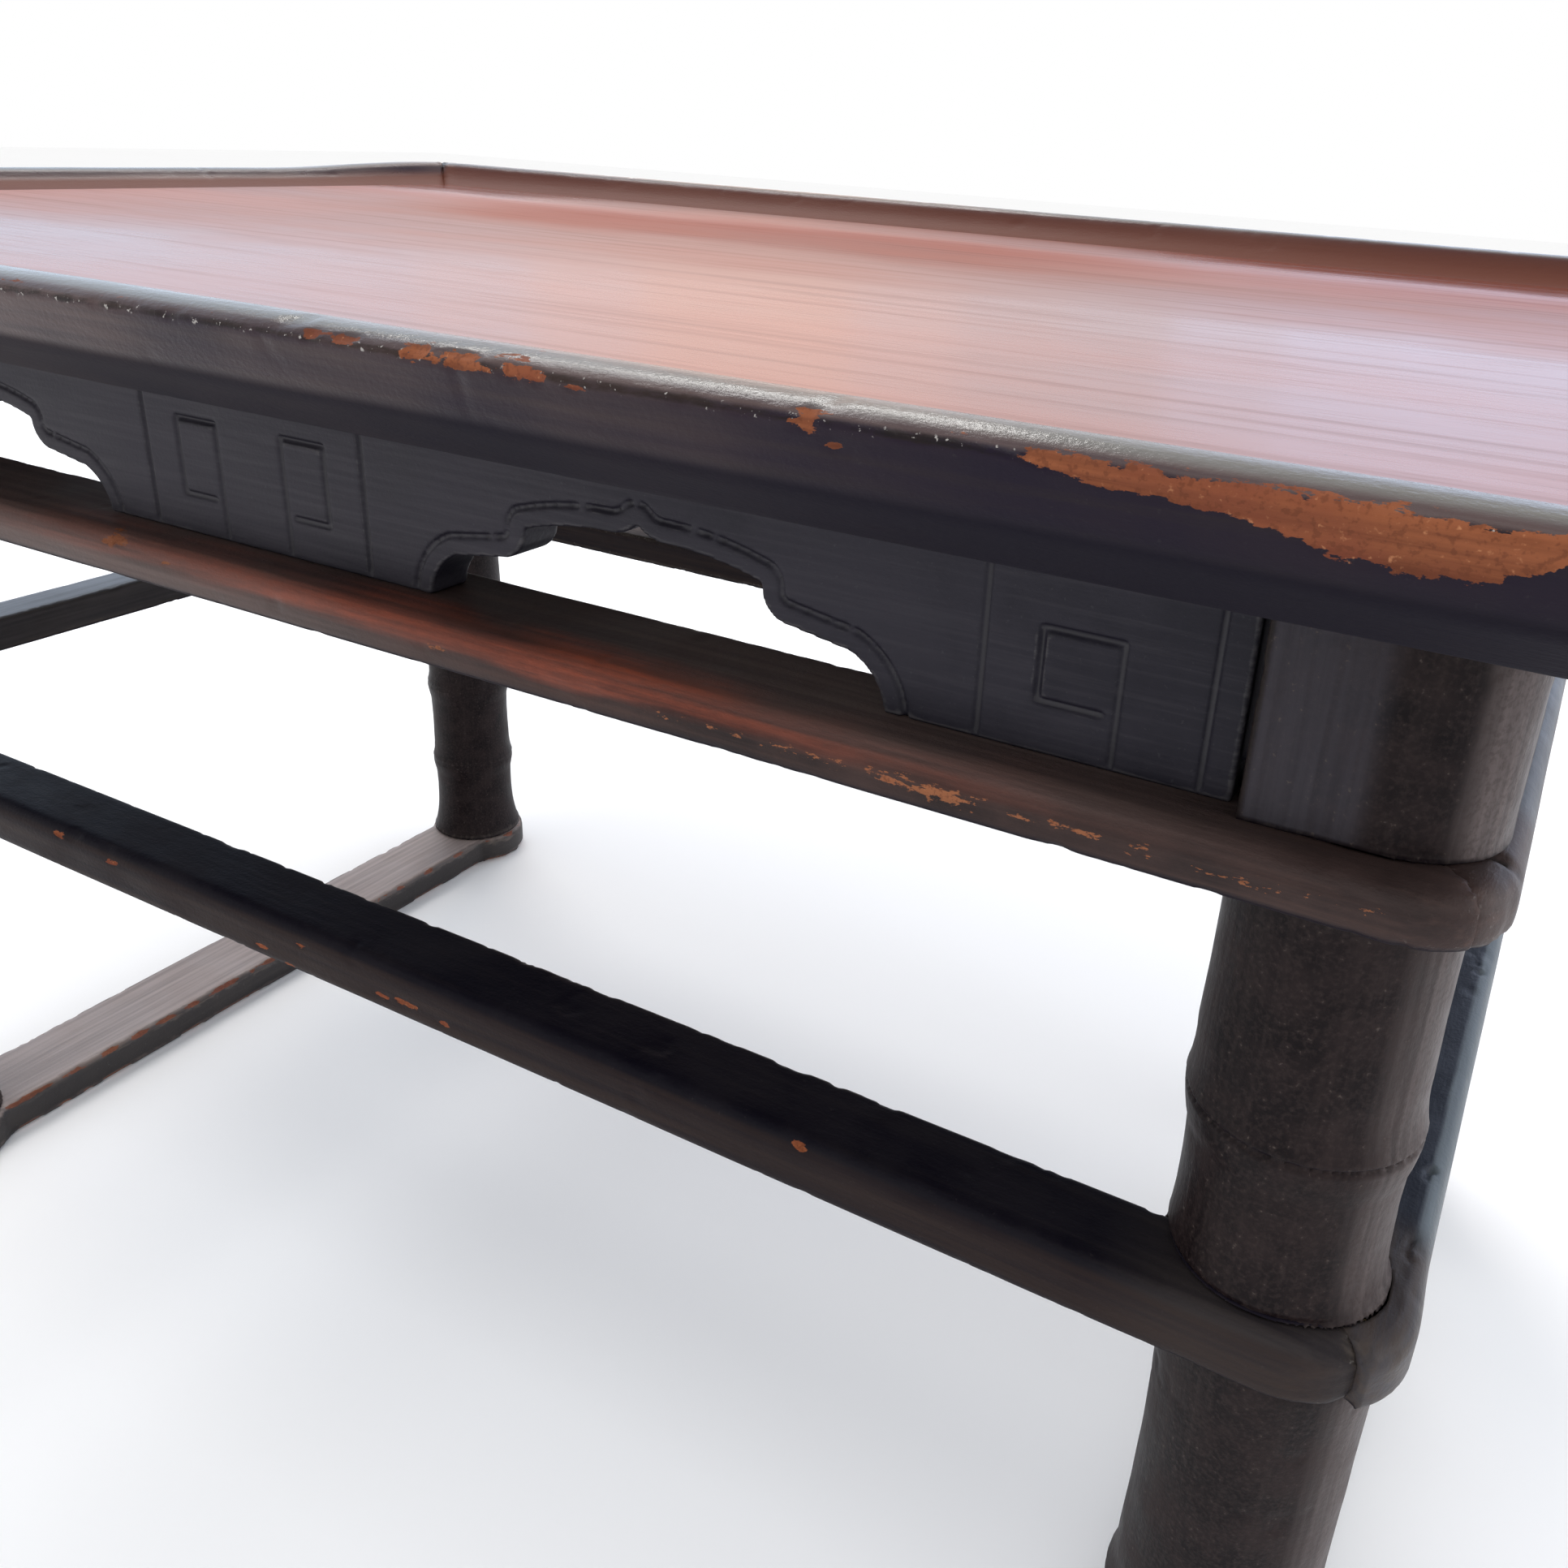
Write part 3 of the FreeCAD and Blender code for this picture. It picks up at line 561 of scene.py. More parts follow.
RUNNER_RIDGE, RUNNER_CHIP_SIZE, RUNNER_SHARP = (0.15, 0.6), 5, 3
RUNNER_UP = (0.6, 0.9)
RUNNER_CHIP_DEPTH, RUNNER_CHIP_WALL = 0.5, (-0.1, 0.3)


def runner_wear(points, normals, edge):
    """A chipped top arris and a dusty top."""
    ridge = smooth_step(edge, *RUNNER_RIDGE)
    bare = np.clip(RUNNER_SHARP * (ridge * rough_noise(points, RUNNER_CHIP_SIZE, 71) - 0.5), -1, 1)
    top = smooth_step(normals[:, 2], *RUNNER_UP)
    depth = hand_depth(points, 29) + RUNNER_CHIP_DEPTH * smooth_step(bare, *RUNNER_CHIP_WALL)
    return depth, wear_masks(normals, edge, soft=0.5, bare=bare, dust=top)


# Painted light: the apron's face made paler towards the left
APRON_LIT_X = (-20, 60, 130)
APRON_LIT = (0.5, 0.4, 0.0)
APRON_WAVE_SIZE, APRON_WAVE_DEPTH = 24, 0.1


def apron_wear(points, normals, edge):
    """Slightly wavy boards, dusty in the incised lines, with painted light making the face paler towards the
    left.
    """
    faded = np.interp(points[:, 0], APRON_LIT_X, APRON_LIT)
    masks = wear_masks(normals, edge, soft=0.22, faded=faded)
    return APRON_WAVE_DEPTH * rough_noise(points, APRON_WAVE_SIZE, 31), masks


# Materials
class Shader:
    """A material's node tree, with short ways to add the nodes that the finishes here use."""

    def __init__(self, name):
        self.material = bpy.data.materials.new(name)
        self.material.use_nodes = True
        self.tree = self.material.node_tree
        self.surface = self.tree.nodes["Principled BSDF"]
        self.coordinates = self.tree.nodes.new("ShaderNodeTexCoord")
        self.place = self.coordinates.outputs["Object"]

    def feed(self, socket, value):
        if isinstance(value, bpy.types.NodeSocket):
            self.tree.links.new(value, socket)
        else:
            socket.default_value = value

    def noise(self, size, stretch=(1, 1, 1), detail=4.0, roughness=0.55, distortion=0.0):
        """Noise with spots about size millimetres across, drawn out along an axis by a stretch under 1."""
        mapping = self.tree.nodes.new("ShaderNodeMapping")
        mapping.inputs["Scale"].default_value = stretch
        self.feed(mapping.inputs["Vector"], self.place)
        texture = self.tree.nodes.new("ShaderNodeTexNoise")
        texture.inputs["Scale"].default_value = 1 / (size * MM)
        texture.inputs["Detail"].default_value = detail
        texture.inputs["Roughness"].default_value = roughness
        texture.inputs["Distortion"].default_value = distortion
        self.feed(texture.inputs["Vector"], mapping.outputs["Vector"])
        return texture.outputs["Fac"]

    def position(self, axis):
        """The place along one axis of the table, in metres."""
        split = self.tree.nodes.new("ShaderNodeSeparateXYZ")
        self.feed(split.inputs["Vector"], self.place)
        return split.outputs[axis]

    def facing_up(self):
        """From -1 where the surface faces down to 1 where it faces up."""
        split = self.tree.nodes.new("ShaderNodeSeparateXYZ")
        self.feed(split.inputs["Vector"], self.coordinates.outputs["Normal"])
        return split.outputs["Z"]

    def mask(self, name):
        """A mask kept on the mesh's points."""
        layer = self.tree.nodes.new("ShaderNodeAttribute")
        layer.attribute_name = name
        return layer.outputs["Fac"]

    def span(self, value, low, high, to_low=0.0, to_high=1.0):
        """Value's stretch from low to high, mapped softly to another stretch."""
        node = self.tree.nodes.new("ShaderNodeMapRange")
        node.interpolation_type = "SMOOTHSTEP"
        for socket, given in zip(node.inputs, (value, low, high, to_low, to_high)):
            self.feed(socket, given)
        return node.outputs["Result"]

    def reach(self, place, stretch, to_low=0.0, to_high=1.0):
        """The same for a place on the table, over a stretch in millimetres."""
        return self.span(place, stretch[0] * MM, stretch[1] * MM, to_low, to_high)

    def math(self, operation, first, second):
        node = self.tree.nodes.new("ShaderNodeMath")
        node.operation = operation
        self.feed(node.inputs[0], first)
        self.feed(node.inputs[1], second)
        return node.outputs["Value"]

    def mix(self, share, first, second):
        """First colour, going over to the second as share goes from 0 to 1."""
        node = self.tree.nodes.new("ShaderNodeMix")
        node.data_type = "RGBA"
        colours = [socket for socket in node.inputs if socket.type == "RGBA"]
        self.feed(node.inputs["Factor"], share)
        self.feed(colours[0], first if isinstance(first, bpy.types.NodeSocket) else (*first, 1))
        self.feed(colours[1], second if isinstance(second, bpy.types.NodeSocket) else (*second, 1))
        return next(socket for socket in node.outputs if socket.type == "RGBA")

    def bump(self, height, depth, under=None):
        """Normals of a surface with that height, 0 to 1 being depth millimetres."""
        node = self.tree.nodes.new("ShaderNodeBump")
        node.inputs["Distance"].default_value = depth * MM
        self.feed(node.inputs["Height"], height)
        if under is not None:
            self.feed(node.inputs["Normal"], under)
        return node.outputs["Normal"]


# How a grain is drawn out along a piece's length, in long streaks or in short ones
ALONG = {"x": (0.03, 1, 1), "y": (1, 0.03, 1), "z": (1, 1, 0.03)}
DRAWN = {"x": (0.35, 1, 1), "y": (1, 0.35, 1), "z": (1, 1, 0.35)}

# The board's colours, places on it in millimetres from its middle, and what they add to its roughness
BOARD_DARK, BOARD_PALE = (0.2, 0.058, 0.034), (0.265, 0.08, 0.048)
# Painted reflections on the board: a red band reflecting the far rim's cove, and a darker band towards the
# back
BOARD_REFLECTED_COVE, BOARD_REFLECTED_DARK = (0.24, 0.05, 0.024), (0.1, 0.026, 0.016)
BOARD_STREAK, BOARD_FINE = (0.1, 0.032, 0.023), (0.1, 0.032, 0.022)
BOARD_SPECK, BOARD_UNDER_SHADE = (0.04, 0.02, 0.015), (0.018, 0.012, 0.011)
CLOUD_DRAWN, FINE_DRAWN = (0.4, 1, 1), (0.06, 1, 1)
WAVER = 20
# Where the painted red reflection and the painted dark reflection lie, from front to back
REFLECTED_COVE_Y, REFLECTED_DARK_Y, REFLECTED_DARK_SHARE = (40, 115), (105, 142), 0.7
WORN_Y, WORN_SLANT, WORN_ROUGH = (-80, 25), 0.26, 0.23
DULL_Y, DULL_X, DULL_HALF, DULL_ROUGH = (10, 60), -25, (60, 140), 0.25
POLISHED_Y, POLISHED = (88, 125), 0.34
STREAK_RELIEF, FINE_RELIEF, WAVE_RELIEF = 0.015, 0.01, 0.2


def board_noises(shader):
    """The board's clouds, streaks and fine lines along its length, specks and slow waves."""
    return dict(
        cloud=shader.noise(60, CLOUD_DRAWN, detail=4),
        streak=shader.noise(4.0, ALONG["x"], detail=6, distortion=0.3),
        fine=shader.noise(0.8, FINE_DRAWN, detail=3),
        speck=shader.noise(1.4, detail=2),
        wave=shader.noise(45, CLOUD_DRAWN, detail=1),
    )


def board_colour(shader, noises, back):
    """Red-brown with darker grain, a painted red reflection of the far rim's cove, a painted dark reflection
    towards the back and painted shade underneath.
    """
    colour = shader.mix(shader.span(noises["cloud"], 0.35, 0.68), BOARD_DARK, BOARD_PALE)
    # Painted reflections: the far rim's red cove, then a darker band along the back
    colour = shader.mix(shader.reach(back, REFLECTED_COVE_Y), colour, BOARD_REFLECTED_COVE)
    colour = shader.mix(shader.reach(back, REFLECTED_DARK_Y, 0, REFLECTED_DARK_SHARE), colour, BOARD_REFLECTED_DARK)
    colour = shader.mix(shader.span(noises["streak"], 0.5, 0.75, 0, 0.35), colour, BOARD_STREAK)
    colour = shader.mix(shader.span(noises["fine"], 0.56, 0.78, 0, 0.3), colour, BOARD_FINE)
    colour = shader.mix(shader.span(noises["speck"], 0.74, 0.78, 0, 0.6), colour, BOARD_SPECK)
    # Painted shade: the board is darkened where it faces down
    return shader.mix(shader.span(shader.facing_up(), -0.6, 0.2), BOARD_UNDER_SHADE, colour)


def board_roughness(shader, noises, back):
    """Polished in front and along the back edge, worn duller between, dullest behind the middle."""
    x = shader.position("X")
    away = shader.math("SUBTRACT", back, shader.math("MULTIPLY", x, WORN_SLANT))
    aside = shader.math("ABSOLUTE", shader.math("SUBTRACT", x, DULL_X * MM), 0)
    dull = shader.math("MULTIPLY", shader.reach(aside, DULL_HALF, DULL_ROUGH, 0), shader.reach(back, DULL_Y))
    rough = shader.span(noises["cloud"], 0.3, 0.7, 0.22, 0.28)
    rough = shader.math("ADD", rough, shader.reach(away, WORN_Y, 0, WORN_ROUGH))
    rough = shader.math("ADD", rough, dull)
    rough = shader.math("SUBTRACT", rough, shader.reach(back, POLISHED_Y, 0, POLISHED))
    rough = shader.math("ADD", rough, shader.span(noises["streak"], 0.46, 0.72, 0, 0.08))
    return shader.math("ADD", rough, shader.span(noises["fine"], 0.5, 0.75, 0, 0.05))


def board_lacquer():
    """Polished red-brown lacquer over a board whose grain runs along its length."""
    shader = Shader("board_lacquer")
    noises = board_noises(shader)
    waver = shader.span(noises["cloud"], 0.2, 0.8, -WAVER * MM, WAVER * MM)
    back = shader.math("ADD", shader.position("Y"), waver)
    shader.feed(shader.surface.inputs["Base Color"], board_colour(shader, noises, back))
    shader.feed(shader.surface.inputs["Roughness"], board_roughness(shader, noises, back))
    relief = shader.bump(noises["streak"], STREAK_RELIEF, shader.bump(noises["wave"], WAVE_RELIEF))
    shader.feed(shader.surface.inputs["Normal"], shader.bump(noises["fine"], FINE_RELIEF, relief))
    return shader.material


# Worn lacquer: stretches of noise over which its spots and streaks set in, then sizes and shares
RAGGED = (0.2, 0.8)
STREAKY = (0.25, 0.7)
FLECK_SIZE = 0.7
RUB_EDGES = 0.45
# How far painted shade darkens what faces down
UNDER_SHADE_SHARE = 0.85
BARE_EDGE = (0.0, 0.1)
BARE_ROUGH, UNDER_ROUGH, COVE_ROUGH = 0.62, 0.75, 0.6
FLECK_RELIEF, RAGGED_RELIEF = 0.05, 0.09


def lacquer_noises(shader, grain, look):
    """The lacquer's clouds, streaks along the grain, small flecks and ragged spots."""
    return dict(
        cloud=shader.noise(look["cloud_size"], detail=6, roughness=0.62),
        streak=shader.noise(look["grain_size"], ALONG[grain], detail=5),
        fleck=shader.noise(FLECK_SIZE, detail=3),
        ragged=shader.noise(look["ragged_size"], DRAWN[grain], detail=5, roughness=0.7),
    )


def dust_share(shader, noises, look):
    """How much dust and painted sheen lies on the surface, broken up by streaks and ragged spots."""
    streaky = shader.span(noises["streak"], *STREAKY, look["dust_low"], 1.0)
    broken = shader.span(noises["ragged"], 0.3, 0.62, look["unbroken"], 1.0)
    return shader.math("MULTIPLY", shader.math("MULTIPLY", shader.mask("dust"), streaky), broken)


def film_colour(shader, noises, look, dusty):
    """The lacquer film: clouded, with the grain showing, with real fading and painted light, dust and painted
    sheen, and flecks.
    """
    streak, fleck = noises["streak"], noises["fleck"]
    colour = shader.mix(shader.span(noises["cloud"], 0.34, 0.68), look["dark"], look["pale"])
    colour = shader.mix(shader.span(streak, 0.46, 0.74, 0, look["grain"]), colour, look["streak"])
    # Fading, real on some pieces and painted light on others
    faded_and_lit_share = shader.math("MULTIPLY", shader.mask("faded"), shader.span(streak, *STREAKY, 0.5, 1.0))
    colour = shader.mix(faded_and_lit_share, colour, look["fade"])
    colour = shader.mix(shader.span(fleck, 0.42, 0.66, 0, look["mottle"]), colour, look["streak"])
    # Dust on some pieces; painted highlights and reflections on others
    colour = shader.mix(shader.math("MULTIPLY", dusty, look["dusting"]), colour, look["dust"])
    return shader.mix(shader.span(fleck, 0.66, 0.76, 0, look["flecks"]), colour, look["fleck"])


def rubbed_film(shader, noises, look, colour):
    """The film with its ridges rubbed thin and chalky, its hollows in their own colour, and painted shade
    darkening what faces down.
    """
    ridge = shader.mask("ridge")
    worn = shader.math("ADD", ridge, shader.span(noises["ragged"], *RAGGED, -RUB_EDGES, RUB_EDGES))
    rub = shader.mix(shader.span(noises["streak"], 0.35, 0.65), look["rub_dark"], look["rub_pale"])
    colour = shader.mix(shader.span(worn, 0.35, 0.95, 0, look["rub"]), colour, rub)
    chalk = shader.math("MULTIPLY", shader.span(noises["fleck"], 0.63, 0.68), shader.span(ridge, 0.15, 0.6))
    colour = shader.mix(shader.math("MULTIPLY", chalk, look["chalk"]), colour, CHALK)
    # Hollows take their own colour: darker on most pieces, pale grey in the apron's incised lines
    hollow = shader.span(shader.mask("hollow"), 0.3, 1.0, 0, look["hollow_strength"])
    colour = shader.mix(hollow, colour, look["hollow_colour"])
    # Painted shade: what faces down is darkened towards a blue-black
    return shader.mix(shader.math("MULTIPLY", shader.mask("under"), UNDER_SHADE_SHARE), colour, UNDERSIDE_SHADE)


def bare_wood(shader, noises, look):
    """The wood where the lacquer has gone: red-brown along the grain, with pale and dark specks."""
    wood = shader.mix(shader.span(noises["streak"], 0.32, 0.68), WOOD_DARK, WOOD)
    wood = shader.mix(shader.span(noises["cloud"], 0.45, 0.62, 0, 0.6), wood, WOOD_RED)
    wood = shader.mix(shader.span(noises["fleck"], 0.62, 0.78, look["pale_wood"], 0.6), wood, WOOD_PALE)
    return shader.mix(shader.span(noises["fleck"], 0.36, 0.48, 0.55, 0), wood, WOOD_DARK)


def worn_lacquer(name, grain, look):
    """Old dark lacquer, worn, with bare wood in places and red in the rim's cove."""
    shader = Shader(name)
    noises = lacquer_noises(shader, grain, look)
    dusty = dust_share(shader, noises, look)
    cove = shader.mask("cove")
    ragged = shader.span(noises["ragged"], *RAGGED, -look["ragged"], look["ragged"])
    bare = shader.span(shader.math("ADD", shader.mask("bare"), ragged), *BARE_EDGE)
    colour = rubbed_film(shader, noises, look, film_colour(shader, noises, look, dusty))
    colour = shader.mix(bare, colour, bare_wood(shader, noises, look))
    shader.feed(shader.surface.inputs["Base Color"], shader.mix(cove, colour, COVE_RED))
    rough = shader.span(noises["cloud"], 0.3, 0.7, *look["gloss"])
    rough = shader.math("SUBTRACT", rough, shader.math("MULTIPLY", dusty, look["polish"]))
    for mask, least in ((bare, BARE_ROUGH), (shader.mask("under"), UNDER_ROUGH), (cove, COVE_ROUGH)):
        rough = shader.math("MAXIMUM", rough, shader.math("MULTIPLY", mask, least))
    shader.feed(shader.surface.inputs["Roughness"], rough)
    shader.surface.inputs["Specular IOR Level"].default_value = look["shine"]
    relief = shader.bump(noises["fleck"], FLECK_RELIEF, shader.bump(noises["streak"], look["relief"]))
    shader.feed(shader.surface.inputs["Normal"], shader.bump(noises["ragged"], RAGGED_RELIEF, relief))
    return shader.material


WOOD = (0.226, 0.071, 0.029)
WOOD_DARK = (0.1, 0.028, 0.012)
WOOD_RED = (0.15, 0.038, 0.02)
WOOD_PALE = (0.48, 0.21, 0.1)
CHALK = (0.42, 0.4, 0.38)
# Painted shade for surfaces that face down
UNDERSIDE_SHADE = (0.0032, 0.0022, 0.0075)
COVE_RED = (0.1, 0.027, 0.014)

# Looks of the worn lacquers, each with what differs from the plain one
PLAIN_LOOK = dict(
    grain=0.5, flecks=0.15, dusting=0.0, dust=(0.05, 0.05, 0.05), dust_low=0.6, rub=0.5, chalk=0.0, hollow_strength=0.7,
    hollow_colour=(0.003, 0.003, 0.003), ragged=0.3, gloss=(0.4, 0.55), shine=0.16, relief=0.05, cloud_size=20,
    fade=(0.05, 0.042, 0.04), polish=0.0, pale_wood=0.0, grain_size=1.6, unbroken=1.0, mottle=0.0,
    ragged_size=1.5,
)
# The rim's pale grey dust colour is the painted highlight on its crest; its brown fade colour is the painted
# shading band and the painted sheen on its left
RIM_LOOK = dict(
    PLAIN_LOOK, dark=(0.0055, 0.002, 0.0115), pale=(0.0098, 0.005, 0.012), streak=(0.015, 0.0098, 0.0095),
    fleck=(0.06, 0.056, 0.055), rub=0.8, rub_dark=(0.003, 0.002, 0.002), rub_pale=(0.02, 0.011, 0.008),
    chalk=0.7, gloss=(0.26, 0.38), shine=0.14, dusting=0.9, dust=(0.15, 0.147, 0.136), dust_low=0.75,
    ragged=0.7, fade=(0.1, 0.067, 0.063), polish=0.2,
)
# The apron's fade colour is the painted light on the left of its face
APRON_LOOK = dict(
    PLAIN_LOOK, dark=(0.0125, 0.0115, 0.0185), pale=(0.027, 0.025, 0.0345), streak=(0.058, 0.054, 0.064),
    grain=0.22, grain_size=0.8, relief=0.014, fleck=(0.1, 0.1, 0.105), rub=0.6,
    rub_dark=(0.03, 0.029, 0.034), rub_pale=(0.085, 0.08, 0.085), hollow_colour=(0.055, 0.053, 0.058), hollow_strength=0.6,
    fade=(0.055, 0.05, 0.06), gloss=(0.45, 0.6), shine=0.15, cloud_size=26,
)
SIDE_APRON_LOOK = dict(APRON_LOOK, gloss=(0.26, 0.36), shine=0.4)
# The belt's fade colour serves real fading by the legs and on the left, and the painted sheen and ledge light
BELT_LOOK = dict(
    PLAIN_LOOK, dark=(0.018, 0.0105, 0.0105), pale=(0.045, 0.026, 0.0235), streak=(0.07, 0.038, 0.031),
    fleck=(0.1, 0.07, 0.06), dusting=0.9, dust=(0.37, 0.085, 0.043), dust_low=0.2, unbroken=0.75,
    ragged_size=0.9, rub=0.3, rub_dark=(0.04, 0.016, 0.011), rub_pale=(0.09, 0.042, 0.03), chalk=0.1,
    ragged=0.7, gloss=(0.4, 0.52), cloud_size=18, pale_wood=0.25, fade=(0.17, 0.125, 0.115),
)
# The blue-grey dust colour is dust together with a painted reflection of cool light
SIDE_BELT_LOOK = dict(
    BELT_LOOK, rub=0.1, unbroken=1.0, dusting=0.85, dust=(0.12, 0.135, 0.155), dust_low=0.7, shine=0.3,
)
# The grey dust colour is the painted reflection on the head's flat faces; the brown-grey fade colour is the
# painted highlight on the outer side
LEG_LOOK = dict(
    PLAIN_LOOK, dark=(0.0032, 0.0014, 0.0022), pale=(0.016, 0.0102, 0.0105), streak=(0.03, 0.0205, 0.0195),
    grain=0.3, fleck=(0.085, 0.068, 0.06), flecks=0.6, dusting=0.8, dust=(0.047, 0.043, 0.053),
    fade=(0.12, 0.096, 0.094), mottle=0.4, rub_dark=(0.016, 0.0125, 0.0115),
    rub_pale=(0.07, 0.057, 0.051), shine=0.1, cloud_size=8,
)
RAIL_LOOK = dict(
    PLAIN_LOOK, dark=(0.0042, 0.0036, 0.0075), pale=(0.009, 0.0078, 0.0115), streak=(0.014, 0.0118, 0.014),
    fleck=(0.06, 0.052, 0.048), rub=0.65, rub_dark=(0.022, 0.018, 0.016), rub_pale=(0.06, 0.048, 0.04),
    chalk=0.15, dusting=0.6, dust=(0.032, 0.02, 0.016), dust_low=0.3, ragged=0.6, gloss=(0.38, 0.55),
    cloud_size=16, shine=0.06,
)
# The blue-grey dust colour is dust together with a painted reflection of cool light
SIDE_RAIL_LOOK = dict(
    RAIL_LOOK, dark=(0.005, 0.005, 0.0068), pale=(0.011, 0.0115, 0.0145), streak=(0.02, 0.021, 0.025),
    gloss=(0.32, 0.45), shine=0.05, chalk=0.0, dusting=0.85, dust=(0.27, 0.3, 0.35), dust_low=0.7,
)
# The right rail's lacquer made lighter and bluer all over as painted cool light from the right, with a
# painted highlight along its outer edge
RIGHT_RAIL_COOL_LIT_LOOK = dict(
    SIDE_RAIL_LOOK, dark=(0.03, 0.034, 0.047), pale=(0.046, 0.052, 0.07), streak=(0.06, 0.066, 0.08),
    shine=0.12, dust=(0.13, 0.155, 0.172), fade=(0.055, 0.043, 0.039), rub=0.3,
)
RUNNER_LOOK = dict(
    PLAIN_LOOK, dark=(0.012, 0.009, 0.0095), pale=(0.024, 0.019, 0.018), streak=(0.034, 0.026, 0.024),
    fleck=(0.3, 0.27, 0.25), flecks=0.2, dusting=0.95, dust=(0.32, 0.26, 0.245), dust_low=0.6,
    rub_dark=(0.04, 0.03, 0.026), rub_pale=(0.16, 0.12, 0.1), gloss=(0.42, 0.6), shine=0.4,
)


FIBRE_DARK, FIBRE_PALE = (0.33, 0.22, 0.1), (0.56, 0.42, 0.23)
FIBRE_SIZE, FIBRE_RELIEF = 0.5, 0.03


def bamboo():
    """Bare split bamboo with fine fibres."""
    shader = Shader("bamboo")
    fibre = shader.noise(FIBRE_SIZE, ALONG["z"], detail=4)
    colour = shader.mix(shader.span(fibre, 0.35, 0.68), FIBRE_DARK, FIBRE_PALE)
    shader.feed(shader.surface.inputs["Base Color"], colour)
    shader.feed(shader.surface.inputs["Roughness"], shader.span(fibre, 0.3, 0.7, 0.45, 0.62))
    shader.feed(shader.surface.inputs["Normal"], shader.bump(fibre, FIBRE_RELIEF))
    return shader.material


def finish_node(node, material):
    """A node that keeps its own mesh gets its material."""
    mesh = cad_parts[node].data
    mesh.materials.clear()
    mesh.materials.append(material)


# The table
HIDDEN_NODES = (
    "rim_corner_tongues", "apron_foot_pegs", "apron_end_pegs", "belt_pegs", "stretcher_pegs", "foot_wedges",
)


def rims():
    long_finish = worn_lacquer("rim_lacquer_long", "x", RIM_LOOK)
    side_finish = worn_lacquer("rim_lacquer_side", "y", RIM_LOOK)
    long_ends = lapped(RIM_CORNER, True)
    ends = lapped(RIM_CORNER, False)
    worn_piece("rim_front", FINE, long_finish, rim_wear, reshape=long_ends, rounded=rim_foot)
    worn_piece("rim_back", MEDIUM, long_finish, rim_wear, reshape=long_ends)
    worn_piece("rim_right", MEDIUM, side_finish, rim_wear, reshape=ends)
    worn_piece(
        "rim_left", MEDIUM, side_finish, rim_wear,
        reshape=lambda points: sagged_left_rim(ends(points)),
    )


def aprons():
    long_finish = worn_lacquer("apron_lacquer_long", "x", APRON_LOOK)
    side_finish = worn_lacquer("apron_lacquer_side", "y", SIDE_APRON_LOOK)
    worn_piece("apron_front", CARVED, long_finish, apron_wear, soften=2)
    worn_piece("apron_back", CARVED_FAR, long_finish, apron_wear, soften=1)
    for side in ("left", "right"):
        worn_piece("apron_" + side, CARVED_FAR, side_finish, apron_wear, soften=1)


def belts():
    long_finish = worn_lacquer("belt_lacquer_long", "x", BELT_LOOK)
    side_finish = worn_lacquer("belt_lacquer_side", "y", SIDE_BELT_LOOK)
    long_ends = lapped(LEG_AXIS, True)
    ends = lapped(LEG_AXIS, False)
    for side, voxel in (("front", FINE), ("back", MEDIUM)):
        worn_piece("belt_" + side, voxel, long_finish, belt_wear, reshape=long_ends)
    for side in ("left", "right"):
        worn_piece("belt_" + side, MEDIUM, side_finish, side_belt_wear, reshape=ends)


def stretchers():
    long_finish = worn_lacquer("stretcher_lacquer_long", "x", RAIL_LOOK)
    left_finish = worn_lacquer("stretcher_lacquer_left", "y", SIDE_RAIL_LOOK)
    right_finish = worn_lacquer("stretcher_lacquer_right", "y", RIGHT_RAIL_COOL_LIT_LOOK)
    for side, voxel in (("front", FINE), ("back", MEDIUM)):
        worn_piece("stretcher_" + side, voxel, long_finish, rail_wear, reshape=lapped(LEG_AXIS, True))
    ends = lapped(LEG_AXIS, False)
    worn_piece("stretcher_left", MEDIUM, left_finish, side_rail_wear, reshape=ends)
    worn_piece(
        "stretcher_right", FINE, right_finish, proud_rail_wear, soften=1,
        reshape=lambda points: proud_rail(ends(points)),
    )


def legs():
    finish = worn_lacquer("leg_lacquer", "z", LEG_LOOK)
    worn_piece("leg_front_right", CLOSE, finish, leg_wear, soften=1, reshape=crooked_leg)
    for place in ("front_left", "back_left", "back_right"):
        worn_piece("leg_" + place, MEDIUM, finish, leg_wear, soften=1)


def runners():
    finish = worn_lacquer("runner_lacquer", "y", RUNNER_LOOK)
    for side in ("left", "right"):
        worn_piece("runner_" + side, COARSE, finish, runner_wear)


def build_table():
    finish_node("top_panel", board_lacquer())
    fibres = bamboo()
    for node in HIDDEN_NODES:
        finish_node(node, fibres)
    rims()
    aprons()
    belts()
    stretchers()
    legs()
    runners()


# The studio: places and lengths in metres, the size of the paper's clouds in millimetres
FLOOR_HALF = 6.0
PAPER_DARK, PAPER_PALE = (0.94, 0.94, 0.94), (0.96, 0.96, 0.96)
PAPER_CLOUD, PAPER_ROUGH = 400, 0.9


def pale_floor():
    mesh = bpy.data.meshes.new("floor")
    corners = [(-1, -1), (1, -1), (1, 1), (-1, 1)]
    mesh.from_pydata([(x * FLOOR_HALF, y * FLOOR_HALF, 0) for x, y in corners], [], [(0, 1, 2, 3)])
    floor = bpy.data.objects.new("floor", mesh)
    bpy.context.scene.collection.objects.link(floor)
    shader = Shader("floor_paper")
    colour = shader.mix(shader.noise(PAPER_CLOUD, detail=2), PAPER_DARK, PAPER_PALE)
    shader.feed(shader.surface.inputs["Base Color"], colour)
    shader.surface.inputs["Roughness"].default_value = PAPER_ROUGH
    mesh.materials.append(shader.material)


